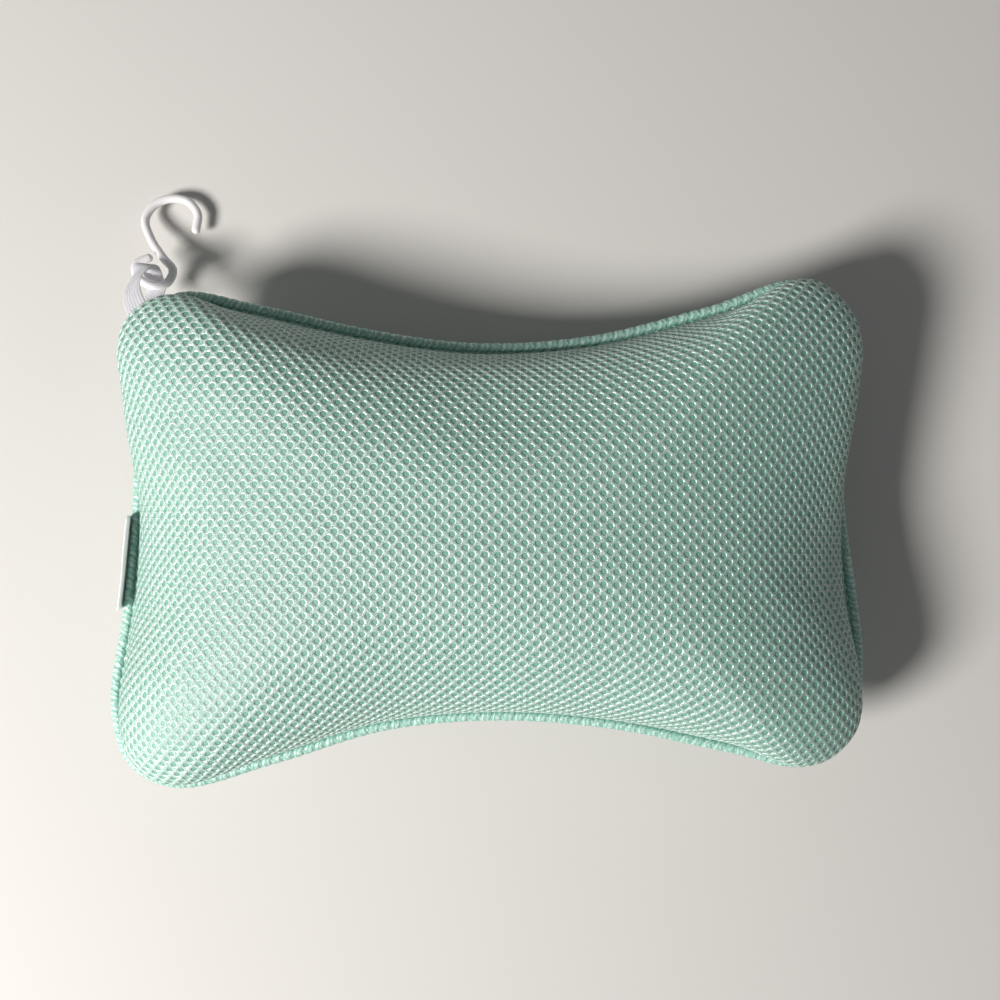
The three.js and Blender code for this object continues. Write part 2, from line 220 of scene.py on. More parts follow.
def seamLine(count, inset):
    # evenly spaced points on the seam's outline, moved inwards, with their outward directions
    # and their swell
    line = evenly(smoothLine(cushion["seam"], True), count, True, 2)
    along = tangents(line[:, :2], True)
    out = np.stack([along[:, 1], -along[:, 0]], 1)
    return line[:, :2] - out * inset, out, line[:, 2]


def averaged(values, reach):
    weights = [(k, 1 + reach - abs(k)) for k in range(-reach, reach + 1)]
    return sum(np.roll(values, k, 0) * w for k, w in weights) / sum(w for k, w in weights)


def cushionRings():
    c = cushion
    n = c["stations"]
    edge, out, bulge = seamLine(n, c["seamInset"])
    bulge = averaged(bulge, 2)
    endness = averaged(out[:, 0] ** 2, 7)
    turn = np.arange(n) * 2 * math.pi / n
    crown = np.stack([c["crownHalfLength"] * np.cos(turn),
                      c["crownHalfWidth"] * np.sin(turn) + c["crownOffset"]], 1)
    droop = c["crownDroop"] * np.cos(turn) ** 2
    power = 2 / (c["waistFullness"] + (c["endFullness"] - c["waistFullness"]) * endness)
    bend = math.log(0.5) / math.log(c["swellPlace"])
    rings = []
    base = c["seamHeight"] + c["flange"]
    rise = c["crownHeight"] - base
    for k in range(c["domeRings"] + 1):
        angle = k / c["domeRings"] * math.pi / 2
        reach = np.sin(angle) ** power
        level = np.maximum(np.cos(angle), 0) ** power
        swell = math.sin(math.pi * (k / c["domeRings"]) ** bend)
        plan = crown + (edge - crown) * reach[:, None] + out * (bulge * swell)[:, None]
        height = base + (rise - droop) * level
        rings.append(np.column_stack([plan, height]))
    base = c["seamHeight"] - c["flange"]
    for k in range(c["bellyRings"], -1, -1):
        share = math.sin(k / c["bellyRings"] * math.pi / 2)
        level = (1 - share ** c["bellyFlatness"]) ** (1 / c["bellyShoulder"])
        plan = crown + (edge - crown) * share
        rings.append(np.column_stack([plan, np.full(n, base - (base - c["bellyHeight"]) * level)]))
    return np.array(rings)


def closeRing(first, size, upwards):
    # strip of faces across a crown loop, between its two halves
    faces = []
    for i in range(size // 2):
        a, b = first + i, first + i + 1
        d, e = first + (size - i) % size, first + size - i - 1
        corners = []
        for v in ((a, b, e, d) if upwards else (d, e, b, a)):
            if v not in corners:
                corners.append(v)
        if len(corners) > 2:
            faces.append(corners)
    return faces


swelling = {
    "frames": 20, "pressure": 10.0, "quality": 5,
    "mass": 0.15, "tension": 20, "shear": 8, "bending": 1.5,   # of the cover's cloth
    "faceHold": 0.07, "backHold": 0.3,     # how firmly the filling holds each panel, 0 to 1
    "faceCap": 4.5, "backCap": 1.0,        # furthest that a point may move, mm
    "evenRounds": 2,
}


def inflate(rings):
    # cloth under pressure over the filling, its seam held; the result is capped
    s = swelling
    count, size = rings.shape[:2]
    verts = rings.reshape(-1, 3).copy()
    verts[:, 2] -= cushion["seamHeight"]
    faces = ringFaces(count, size) + closeRing(0, size, True) + closeRing((count - 1) * size, size, False)
    body = meshObject("swellingBody", verts * mm, faces)
    hold = body.vertex_groups.new(name="hold")
    dome = cushion["domeRings"]
    for r in range(count):
        if r in (dome, dome + 1):
            weight = 1.0
        else:
            weight = s["faceHold"] if r < dome else s["backHold"]
        hold.add(list(range(r * size, (r + 1) * size)), weight, "REPLACE")
    cloth = body.modifiers.new("inflate", "CLOTH")
    cloth.settings.quality = s["quality"]
    cloth.settings.mass = s["mass"]
    cloth.settings.tension_stiffness = s["tension"]
    cloth.settings.compression_stiffness = s["tension"]
    cloth.settings.shear_stiffness = s["shear"]
    cloth.settings.bending_stiffness = s["bending"]
    cloth.settings.effector_weights.gravity = 0
    cloth.settings.use_pressure = True
    cloth.settings.uniform_pressure_force = s["pressure"]
    cloth.settings.vertex_group_mass = "hold"
    cloth.point_cache.frame_start = 1
    cloth.point_cache.frame_end = s["frames"]
    for f in range(1, s["frames"] + 1):
        scene.frame_set(f)
    graph = bpy.context.evaluated_depsgraph_get()
    swollen = triples(body.evaluated_get(graph).data.vertices) / mm
    scene.frame_set(1)
    bpy.data.objects.remove(body)
    move = np.nan_to_num(swollen - verts).reshape(rings.shape)
    far = np.linalg.norm(move, axis=2)
    cap = np.where(np.arange(count) <= dome, s["faceCap"], s["backCap"])[:, None]
    print("swelling: largest move before the cap", round(float(far.max()), 2), "mm")
    soft = cap * np.tanh(far / cap) / np.maximum(far, 1e-9)
    move = move * soft[:, :, None]
    for _ in range(s["evenRounds"]):       # evens out what the cap has cut
        move = (move + (np.roll(move, 1, 1) + np.roll(move, -1, 1)) / 2) / 2
    return rings + move


rings = cushionRings()
rings = inflate(rings)
print("cushion body ready,", rings.shape[0], "rings")


# both panels of spacer mesh
panelCut = {
    "flangeInsets": (3.4, 1.6),            # rings of the flange outside the crease, mm
    "fitRounds": 30,                       # rounds of flattening
    "offGrain": 0.026, "offGrainReach": 320,   # how far the mesh was laid off the pillow's length
}


def flatCut(points, faces, start, size):
    # the flat shape that bends into the panel with the least stretch: each triangle
    # keeps its shape as nearly as its neighbours let it
    tri = np.array([(f[0], f[k], f[k + 1]) for f in faces for k in range(1, len(f) - 1)])
    p = points[tri]
    ab, ac = p[:, 1] - p[:, 0], p[:, 2] - p[:, 0]
    long = np.linalg.norm(ab, axis=1)
    area = np.linalg.norm(np.cross(ab, ac), axis=1)
    across = np.einsum("ij,ij->i", ab, ac) / long
    flat = np.zeros((len(tri), 3, 2))
    flat[:, 1, 0] = long
    flat[:, 2, 0] = across
    flat[:, 2, 1] = area / long
    sides = ((0, 1, 2), (1, 2, 0), (2, 0, 1))
    pull = []
    for i, j, k in sides:
        u, v = p[:, i] - p[:, k], p[:, j] - p[:, k]
        pull.append(np.clip(np.einsum("ij,ij->i", u, v) / np.maximum(area, 1e-9), 0.02, 20))
    n = len(points)
    own = np.zeros((n // size, size, size))        # springs within each ring
    onward = np.zeros((n // size, size, size))     # and from each ring to the next
    for (i, j, k), w in zip(sides, pull):
        a, b = tri[:, i], tri[:, j]
        for p, q, pulled in ((a, b, -w), (b, a, -w), (a, a, w), (b, b, w)):
            same = p // size == q // size
            np.add.at(own, (p[same] // size, p[same] % size, q[same] % size), pulled[same])
            up = p // size < q // size
            np.add.at(onward, (p[up] // size, p[up] % size, q[up] % size), pulled[up])
    own[0, 0, 0] += 1
    solved = []
    for r in range(n // size):                     # ring by ring, as they only touch in turn
        if r:
            own[r] -= onward[r - 1].T @ solved[-1] @ onward[r - 1]
        solved.append(np.linalg.inv(own[r]))
    cut = start.copy()
    for _ in range(panelCut["fitRounds"]):
        s = np.zeros((len(tri), 2, 2))
        for (i, j, k), w in zip(sides, pull):
            s += w[:, None, None] * (cut[tri[:, i]] - cut[tri[:, j]])[:, :, None] \
                * (flat[:, i] - flat[:, j])[:, None, :]
        turn = np.arctan2(s[:, 1, 0] - s[:, 0, 1], s[:, 0, 0] + s[:, 1, 1])
        c, d = np.cos(turn), np.sin(turn)
        right = np.zeros((n, 2))
        for (i, j, k), w in zip(sides, pull):
            step = flat[:, i] - flat[:, j]
            moved = np.stack([c * step[:, 0] - d * step[:, 1], d * step[:, 0] + c * step[:, 1]], 1)
            moved *= w[:, None]
            np.add.at(right, tri[:, i], moved)
            np.add.at(right, tri[:, j], -moved)
        right[0] += start[0]
        right = right.reshape(-1, size, 2)
        for r in range(1, len(right)):
            right[r] -= onward[r - 1].T @ solved[r - 1] @ right[r - 1]
        cut = np.zeros_like(right)
        for r in reversed(range(len(right))):
            beyond = onward[r] @ cut[r + 1] if r + 1 < len(right) else 0
            cut[r] = solved[r] @ (right[r] - beyond)
        cut = cut.reshape(-1, 2)
    return cut


def panelStack(side):
    # the panel's rings from its middle to the edge of its flange
    dome = cushion["domeRings"]
    stack = rings[:dome + 1] if side > 0 else rings[:dome:-1]
    flange = []
    for inset in panelCut["flangeInsets"]:
        line, _, _ = seamLine(cushion["stations"], inset)
        level = cushion["seamHeight"] + side * cushion["flange"]
        flange.append(np.column_stack([line, np.full(len(line), level)]))
    return np.concatenate([stack, np.array(flange)])


def panelSurface(name, side):
    stack = panelStack(side)
    count, size = stack.shape[:2]
    points = stack.reshape(-1, 3)
    faces = closeRing(0, size, True) + ringFaces(count, size)
    run = np.linalg.norm(np.diff(stack, axis=0), axis=2)
    run = np.concatenate([np.zeros((1, size)), np.cumsum(run, axis=0)])
    aim = stack[-1, :, :2] - stack[0, :, :2]
    aim /= np.linalg.norm(aim, axis=1)[:, None]
    start = (stack[0, :, :2] + run[:, :, None] * aim).reshape(-1, 2)
    cut = flatCut(points, faces, start, size)
    reach = cut - cut.mean(0)
    wanted = start - start.mean(0)
    turned = (reach[:, 0] * wanted[:, 1] - reach[:, 1] * wanted[:, 0]).sum()
    turn = math.atan2(turned, (reach * wanted).sum())
    c, d = math.cos(turn), math.sin(turn)
    cut = reach @ np.array([[c, d], [-d, c]])
    cut[:, 1] += panelCut["offGrain"] * (cut[:, 0] + cut[:, 0] ** 2 / panelCut["offGrainReach"])
    cut[:, 0] *= side
    if side < 0:
        faces = [f[::-1] for f in faces]
    surface = meshObject(name, (points + (shiftX, shiftY, 0)) * mm, faces)
    flat = surface.data.attributes.new("cut", "FLOAT_VECTOR", "POINT")
    flat.data.foreach_set("vector", np.column_stack([cut, np.zeros(len(cut))]).ravel() * mm)
    print(name, "flattened:", [round(float(v), 1) for v in np.ptp(cut, axis=0)], "mm")
    return surface


def rounded(name, mesh, levels):
    # the mesh as a new object with its facets smoothed
    made = bpy.data.objects.new(name, mesh)
    scene.collection.objects.link(made)
    smooth = made.modifiers.new("round", "SUBSURF")
    smooth.levels = smooth.render_levels = levels
    return settled(made)


def patternOf(surface, levels):
    # the flat cut as a mesh that knows where each of its points sits on the pillow
    laid = rounded("laid", surface.data.copy(), levels)
    flat = surface.data.copy()
    flat.vertices.foreach_set("co", triples(flat.attributes["cut"].data, "vector").ravel())
    made = rounded(surface.name + "Pattern", flat, levels)
    lift = triples(laid.data.vertex_normals, "vector")
    for name, values in (("seat", triples(laid.data.vertices)), ("lift", lift)):
        made.data.attributes.new(name, "FLOAT_VECTOR", "POINT").data.foreach_set("vector", values.ravel())
    bpy.data.objects.remove(laid)
    return made


eyeletPlace = {
    "clampHeight": 11.5, "clampRadius": 8.5, "holeRadius": 5.0, "holeSpan": (2, 30),
    "dimpleReach": 24, "dimpleTop": 28,    # nothing of the panel above this height is drawn in
}
cupPlaces = [(sx * cupReach[0] + shiftX, sy * cupReach[1] + shiftY)
             for sx, sy in ((1, 1), (-1, 1), (-1, -1), (1, -1))]


def dimple(surface):
    # the eyelets draw the back panel in round each cup
    e = eyeletPlace
    points = triples(surface.data.vertices) / mm
    for centre in cupPlaces:
        pull = closeness(points, centre, e["clampRadius"], e["dimpleReach"])
        points[:, 2] += pull * (e["clampHeight"] - points[:, 2]) * (points[:, 2] < e["dimpleTop"])
    surface.data.vertices.foreach_set("co", (points * mm).ravel())
    surface.data.update()


meshWeave = {
    "pitch": 5.33,                         # between holes along a row, mm; rows lie half of it apart
    "holeRadius": 1.3, "floorRadius": 1.24, "holeSides": 10,
    "crossRise": 0.1, "crossHalf": 0.5, "crossSink": 0.02,     # rounded strands where they cross, mm
    "waistRise": 0.07, "waistHalf": 0.28, "waistSink": 0.0,    # and where they pass between two holes
    "edgeDrop": 0.09, "depth": 0.34,       # of the hole's lip and foot, mm
    "columns": 82, "rows": 122,
    "edgeRoom": 1.6,                       # a hole may start this far outside the cut, mm
    "merge": 0.02,                         # neighbouring holes are joined within this distance, mm
    "aimReach": 0.4,                       # a strand's direction is read over this reach, mm
    "floorDepth": 0.3, "floorThickness": 0.9,
}
bakeLayout = {
    "width": 0.42,                         # metres of flat cut across the baking layout
    "face": (0.5, 0.36),                   # where the middle of the knit lies in it
    "floor": (0.2, 0.86), "floorScale": 0.38,
}


def meshCell():
    # one hole of the knitted face with its half of the strands round it
    w = meshWeave
    half = w["pitch"] / 2
    crest, shoulder = [], []
    for k in range(8):
        angle = k * math.pi / 4
        c, d = math.cos(angle), math.sin(angle)
        if k % 2 == 0:
            far, near = half, half - w["crossHalf"] * math.sqrt(2)
            rise, sink = w["crossRise"], w["crossSink"]
        else:
            far = half / math.sqrt(2)
            near, rise, sink = far - w["waistHalf"], w["waistRise"], w["waistSink"]
        crest.append((far * c, far * d, rise))
        shoulder.append((near * c, near * d, -sink))
    sides = w["holeSides"]
    lip, foot = [], []
    for k in range(sides):
        angle = k * 2 * math.pi / sides
        c, d = math.cos(angle), math.sin(angle)
        lip.append((w["holeRadius"] * c, w["holeRadius"] * d, -w["edgeDrop"]))
        foot.append((w["floorRadius"] * c, w["floorRadius"] * d, -w["depth"]))
    verts = crest + shoulder + lip + foot
    faces = [(k, (k + 1) % 8, 8 + (k + 1) % 8, 8 + k) for k in range(8)]
    i = k = 0
    while i < 8 or k < sides:              # bridges the eight shoulder points and the lip
        if k >= sides or (i < 8 and (i + 0.5) / 8 < (k + 0.5) / sides):
            faces.append((8 + i % 8, 8 + (i + 1) % 8, 16 + k % sides))
            i += 1
        else:
            faces.append((8 + i % 8, 16 + (k + 1) % sides, 16 + k % sides))
            k += 1
    faces += [(16 + k, 16 + (k + 1) % sides, 16 + sides + (k + 1) % sides, 16 + sides + k)
              for k in range(sides)]
    cell = meshObject("meshCell", np.array(verts) * mm, faces)
    # kept on the faces' corners, so that it survives where neighbouring holes are merged
    spot = np.array([(x / w["pitch"], y / w["pitch"], max(0.0, -z / w["depth"])) for x, y, z in verts])
    corners = np.concatenate([np.array(f) for f in faces])
    marks = cell.data.attributes.new("spot", "FLOAT_VECTOR", "CORNER")
    marks.data.foreach_set("vector", spot[corners].ravel())
    return cell


def knitTree():
    # Geometry Nodes: holes punched over the flat cut, then laid on the pillow
    tree, given, add = newTree("knittedFace", {
        "Cell": "Geometry", "Pattern": "Object", "Studs": "Object", "Stud Radius": "Float",
        "Pitch": "Float", "Columns": "Int", "Rows": "Int", "Edge Room": "Float",
        "Layout Width": "Float", "Finish": "Material"})
    pattern = add("GeometryNodeObjectInfo", {"Object": given["Pattern"]}).outputs["Geometry"]
    studs = add("GeometryNodeObjectInfo", {"Object": given["Studs"]}).outputs["Geometry"]

    def sampled(name, where):
        value = add("GeometryNodeInputNamedAttribute", {"Name": name}, data_type="FLOAT_VECTOR")
        return add("GeometryNodeSampleNearestSurface",
                   {"Mesh": pattern, "Value": value, "Sample Position": where}, data_type="FLOAT_VECTOR")

    # a staggered grid of points, kept where the cut has cloth and no eyelet
    step = add("ShaderNodeMath", [given["Pitch"], 0.5], operation="MULTIPLY")
    gaps = add("ShaderNodeMath", [given["Columns"], 1], operation="SUBTRACT")
    wide = add("ShaderNodeMath", [given["Pitch"], gaps], operation="MULTIPLY")
    gaps = add("ShaderNodeMath", [given["Rows"], 1], operation="SUBTRACT")
    tall = add("ShaderNodeMath", [step, gaps], operation="MULTIPLY")
    grid = add("GeometryNodeMeshGrid", {
        "Size X": wide, "Size Y": tall, "Vertices X": given["Columns"], "Vertices Y": given["Rows"]})
    here = add("GeometryNodeInputPosition")
    split = add("ShaderNodeSeparateXYZ", [here]).outputs
    high = add("ShaderNodeMath", [tall, 0.5, split[1]], operation="MULTIPLY_ADD")
    high = add("ShaderNodeMath", [high, step], operation="DIVIDE")
    row = add("ShaderNodeMath", [high], operation="ROUND")
    odd = add("ShaderNodeMath", [row, 2], operation="MODULO")
    shift = add("ShaderNodeCombineXYZ", [add("ShaderNodeMath", [odd, step], operation="MULTIPLY")])
    staggered = add("GeometryNodeSetPosition", {"Geometry": grid, "Offset": shift})
    outside = add("GeometryNodeProximity", {"Geometry": pattern}, target_element="FACES")
    away = add("ShaderNodeMath", [outside.outputs["Distance"], given["Edge Room"]], operation="GREATER_THAN")
    inside = add("GeometryNodeDeleteGeometry", {"Geometry": staggered, "Selection": away}, domain="POINT")
    seat = add("ShaderNodeSeparateXYZ", [sampled("seat", here)]).outputs
    below = add("ShaderNodeCombineXYZ", seat[:2])
    nearStud = add("GeometryNodeProximity", {"Geometry": studs, "Sample Position": below},
                   target_element="POINTS")
    gone = add("ShaderNodeMath", [nearStud.outputs["Distance"], given["Stud Radius"]], operation="LESS_THAN")
    kept = add("GeometryNodeDeleteGeometry", {"Geometry": inside, "Selection": gone}, domain="POINT")

    # a cell on each point, with its place in the baking layout and the ways of its strands
    cells = add("GeometryNodeInstanceOnPoints", {"Points": kept, "Instance": given["Cell"]})
    real = add("GeometryNodeRealizeInstances", {"Geometry": cells})
    apart = add("ShaderNodeSeparateXYZ", [here]).outputs
    flat = add("ShaderNodeCombineXYZ", apart[:2])
    layout = []
    for part, middle in zip(apart, bakeLayout["face"]):
        share = add("ShaderNodeMath", [part, given["Layout Width"]], operation="DIVIDE")
        layout.append(add("ShaderNodeMath", [share, middle], operation="ADD"))
    layout = add("ShaderNodeCombineXYZ", layout)
    marked = add("GeometryNodeStoreNamedAttribute", {"Geometry": real, "Name": "OFBake", "Value": layout},
                 data_type="FLOAT2", domain="CORNER")
    for name, side in (("rising", 1), ("falling", -1)):
        ends = []
        for reach in (meshWeave["aimReach"] * mm, -meshWeave["aimReach"] * mm):
            aside = add("ShaderNodeVectorMath", [flat, (reach, side * reach, 0)], operation="ADD")
            ends.append(sampled("seat", aside))
        way = add("ShaderNodeVectorMath", ends, operation="SUBTRACT")
        way = add("ShaderNodeVectorMath", [way], operation="NORMALIZE")
        marked = add("GeometryNodeStoreNamedAttribute", {"Geometry": marked, "Name": name, "Value": way},
                     data_type="FLOAT_VECTOR", domain="POINT")

    # laid on the pillow, each point raised along the panel's normal
    raised = add("ShaderNodeVectorMath", {0: sampled("lift", flat), "Scale": apart[2]}, operation="SCALE")
    landed = add("ShaderNodeVectorMath", [sampled("seat", flat), raised], operation="ADD")
    laid = add("GeometryNodeSetPosition", {"Geometry": marked, "Position": landed})
    joined = add("GeometryNodeMergeByDistance", {"Geometry": laid, "Distance": meshWeave["merge"] * mm})
    smooth = add("GeometryNodeSetShadeSmooth", {"Geometry": joined})
    finished = add("GeometryNodeSetMaterial", {"Geometry": smooth, "Material": given["Finish"]})
    add("NodeGroupOutput", {"Geometry": finished})
    return tree


def setInputs(modifier, values):
    for item in modifier.node_group.interface.items_tree:
        if item.in_out == "INPUT" and item.name in values:
            modifier[item.identifier] = values[item.name]


def floorLayer(surface, side, finish):
    # the closed layer of yarn under the holes
    w = meshWeave
    layer = rounded(surface.name + "Floor", surface.data.copy(), 1)
    mesh = layer.data
    sunk = triples(mesh.vertices) - triples(mesh.vertex_normals, "vector") * w["floorDepth"] * mm
    mesh.vertices.foreach_set("co", sunk.ravel())
    cut = triples(mesh.attributes["cut"].data, "vector")[:, :2]
    layout = mesh.uv_layers.new(name="OFBake")
    place = cut[cornerPoints(mesh)] / bakeLayout["width"] * bakeLayout["floorScale"] + bakeLayout["floor"]
    layout.data.foreach_set("uv", place.ravel())
    mesh.materials.clear()
    mesh.materials.append(finish)
    thick = layer.modifiers.new("thickness", "SOLIDIFY")
    thick.thickness = w["floorThickness"] * mm
    thick.offset = -1
    settled(layer)
    if side < 0:
        cutter = cylinders(cupPlaces, eyeletPlace["holeRadius"], eyeletPlace["holeSpan"])
        cutting = layer.modifiers.new("holes", "BOOLEAN")
        cutting.operation = "DIFFERENCE"
        cutting.solver = "EXACT"
        cutting.object = cutter
        settled(layer)
        bpy.data.objects.remove(cutter)
    return layer


def cylinders(centres, radius, span, sides=48):
    # upright closed cylinders for cutting, mm
    verts, faces = [], []
    for x, y in centres:
        first = len(verts)
        for z in span:
            verts += [(x + radius * math.cos(k * 2 * math.pi / sides),
                       y + radius * math.sin(k * 2 * math.pi / sides), z) for k in range(sides)]
        faces += [(first + k, first + (k + 1) % sides, first + sides + (k + 1) % sides, first + sides + k)
                  for k in range(sides)]
        faces += [tuple(first + k for k in reversed(range(sides))),
                  tuple(first + sides + k for k in range(sides))]
    return meshObject("cutter", np.array(verts) * mm, faces, smooth=False)


def joinInto(target, other):
    bpy.ops.object.select_all(action="DESELECT")
    target.select_set(True)
    other.select_set(True)
    bpy.context.view_layer.objects.active = target
    bpy.ops.object.join()


knitLook = {
    # strand is the filaments' pale yarn, partly painted highlight
    "web": "#7CB6A2", "strand": "#D9F0E8", "floor": "#70A592", "shade": "#7CAD9B",
    # shade is painted at the foot of each hole's wall; under the holes it is the lighter of the yarn's two
    # tones
    "roughness": 0.62, "ringRoughness": 0.36,
    "gloss": 1.0, "grain": 0.78,           # grain is how much the strands shine across their run
    "sheen": 3.4,                          # refraction index that gives the bundled filaments' shine
    "ring": 0.262,                         # radius of the bright loop round a hole, in pitches
    "twist": 7.0, "ply": 9.0,              # turns of the yarn along a strand of a hole, and across it
    "filament": 0.526, "cloud": 45.5,      # mm between the yarn's glints, painted pale and raised, and of its broad unevenness
    "groundYarn": 0.714,                   # and between the glints of the yarn under the holes
}


def knitMaterial():
    # warp-knitted polyester spacer mesh: pale glossy filaments run along both diagonals over a mint ground,
    # and shine across their run as silky yarn does; part of their paleness is painted highlight
    look = knitLook
    made, shader, add = newMaterial("knittedSpacerMesh")
    spot = add("ShaderNodeAttribute", attribute_name="spot").outputs["Vector"]
    part = add("ShaderNodeSeparateXYZ", [spot]).outputs
    ax = add("ShaderNodeMath", [part[0]], operation="ABSOLUTE")
    ay = add("ShaderNodeMath", [part[1]], operation="ABSOLUTE")
    both = add("ShaderNodeMath", [ax, ay], operation="ADD")
    rim = add("ShaderNodeMath", [0.5, both], operation="SUBTRACT")     # 0 on the strands' middle line
    run = add("ShaderNodeMath", [ax, ay], operation="SUBTRACT")        # 0 where they pass between two holes
    fromWaist = add("ShaderNodeMath", [run], operation="ABSOLUTE")
    crossing = add("ShaderNodeMapRange", [fromWaist, 0.1, 0.4], **eased)
    square = add("ShaderNodeMath", [ay, ay], operation="MULTIPLY")
    square = add("ShaderNodeMath", [ax, ax, square], operation="MULTIPLY_ADD")
    away = add("ShaderNodeMath", [square], operation="SQRT")
    away = add("ShaderNodeMath", [away, look["ring"]], operation="SUBTRACT")
    offRing = add("ShaderNodeMath", [away], operation="ABSOLUTE")
    loop = add("ShaderNodeMapRange", [offRing, 0.035, 0.01], **eased)
    where = add("ShaderNodeTexCoord").outputs["Object"]
    mottle = add("ShaderNodeTexNoise", {"Vector": where, "Scale": perMetre(look["filament"]), "Detail": 2})
    cloud = add("ShaderNodeTexNoise", {"Vector": where, "Scale": perMetre(look["cloud"]), "Detail": 2})

    # pale where filaments lie on top, paler where they cross, broken up by the mottle, with a bright loop
    # round each hole: partly the pale yarn, partly painted highlight standing in for its glints
    strand = add("ShaderNodeMapRange", [rim, 0.2, 0.02], **eased)
    crossed = add("ShaderNodeMapRange", [crossing, 0, 1, 0.75, 1], **eased)
    broken = add("ShaderNodeMapRange", [mottle, 0.44, 0.55, 0.06, 1], **eased)
    paleAndGlints = add("ShaderNodeMath", [strand, crossed], operation="MULTIPLY")
    paleAndGlints = add("ShaderNodeMath", [paleAndGlints, broken], operation="MULTIPLY")
    paleAndGlints = add("ShaderNodeMath", [paleAndGlints, loop], operation="MAXIMUM")
    web = add("ShaderNodeMix", {0: paleAndGlints, 6: linear(look["web"]), 7: linear(look["strand"])}, **colours)
    # painted shade: a hole's wall darkens to the shade colour towards its foot
    down = add("ShaderNodeMapRange", [part[2], 0.5, 1], **eased)
    web = add("ShaderNodeMix", {0: down, 6: web.outputs[2], 7: linear(look["shade"])}, **colours)
    tint = add("ShaderNodeMapRange", [cloud, 0.3, 0.7, 0.94, 1])
    web = add("ShaderNodeVectorMath", {0: web.outputs[2], "Scale": tint}, operation="SCALE")

    # each of the two sets of strands shines across its own run
    product = add("ShaderNodeMath", [part[0], part[1]], operation="MULTIPLY")
    falls = add("ShaderNodeMath", [product, 0], operation="GREATER_THAN")
    ways = [add("ShaderNodeAttribute", attribute_name=name).outputs["Vector"]
            for name in ("rising", "falling")]
    way = add("ShaderNodeMix", {0: falls, 6: ways[0], 7: ways[1]}, **colours)
    rough = add("ShaderNodeMapRange", [loop, 0, 1, look["roughness"], look["ringRoughness"]], **eased)
    gloss = add("ShaderNodeMapRange", [paleAndGlints, 0, 0.9, 0.25, look["gloss"]], **eased)
    across = add("ShaderNodeMath", [rim, look["ply"]], operation="MULTIPLY")
    turns = add("ShaderNodeMath", [run, look["twist"], across], operation="MULTIPLY_ADD")
    turns = add("ShaderNodeMath", [turns, 2 * math.pi], operation="MULTIPLY")
    ply = add("ShaderNodeMath", [turns], operation="SINE")
    raised = add("ShaderNodeMath", [strand, 0.35], operation="MULTIPLY")
    height = add("ShaderNodeMath", [ply, raised, mottle], operation="MULTIPLY_ADD")
    feed(shader, {
        "Base Color": web, "Roughness": rough, "Specular IOR Level": gloss, "IOR": look["sheen"],
        "Anisotropic": look["grain"], "Anisotropic Rotation": 0.25, "Tangent": way.outputs[2],
        "Normal": add("ShaderNodeBump", {"Height": height, "Distance": 0.0002})})
    return made


def groundMaterial():
    # the polyester spacer yarns seen through the holes: in the shade of the web, softly shining
    look = knitLook
    made, shader, add = newMaterial("mintSpacerYarn")
    where = add("ShaderNodeTexCoord").outputs["Object"]
    fine = add("ShaderNodeTexNoise", {"Vector": where, "Scale": perMetre(look["groundYarn"]), "Detail": 2})
    share = add("ShaderNodeMapRange", [fine, 0.35, 0.65], **eased)
    colour = add("ShaderNodeMix", {0: share, 6: linear(look["floor"]), 7: linear(look["shade"])}, **colours)
    feed(shader, {
        "Base Color": colour.outputs[2], "Roughness": 0.55, "IOR": 1.7,
        "Normal": add("ShaderNodeBump", {"Height": fine, "Distance": 0.00012})})
    return made


knitted, ground = knitMaterial(), groundMaterial()
knit = knitTree()


def panel(name, node, side):
    surface = panelSurface(name + "Surface", side)
    if side < 0:
        dimple(surface)
    pattern = patternOf(surface, 2)
    studs = meshObject("studs", [(x * mm, y * mm, 0) for x, y in cupPlaces], [])
    web = meshCell()
    web.name = name
    punch = web.modifiers.new("knit", "NODES")
    punch.node_group = knit
    w = meshWeave
    setInputs(punch, {
        "Pattern": pattern, "Studs": studs,
        "Stud Radius": 0.0 if side > 0 else eyeletPlace["holeRadius"] * mm,
        "Pitch": w["pitch"] * mm, "Columns": w["columns"], "Rows": w["rows"],
        "Edge Room": w["edgeRoom"] * mm, "Layout Width": bakeLayout["width"], "Finish": knitted})
    settled(web)
    joinInto(web, floorLayer(surface, side, ground))
    for o in (surface, pattern, studs):
        bpy.data.objects.remove(o)
    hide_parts(node)
    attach(web, "pillow")
    print(name, "ready:", len(web.data.polygons), "faces")


panel("facePanel", "top_panel", 1)
panel("backPanel", "back_panel", -1)


# overlocked edge that closes both flanges
overlock = {
    "pitch": 5.0, "steps": 8,              # between stitches along the seam, mm, and points between them
    "inset": 2.35, "halfWidth": 2.75, "halfHeight": 3.15,
    "pinch": 0.16, "slant": 0.22,          # how deep a stitch pulls in, and how far it leans
    "sides": 14,
    "threadRadius": 0.27, "threadReach": 1.9, "threadLift": 0.12,
    "threadTurn": (-50, 230), "threadSteps": 15,       # round the edge, in degrees
    "fanThreads": 2, "fanBow": 0.34,       # pale filaments of a stitch, and how far they bow
    "fluff": 0.769, "patch": 3.03,         # sizes of the yarn's unevenness, mm
    "threadPly": 1.11,                     # length of the sewing thread's twist, mm
}


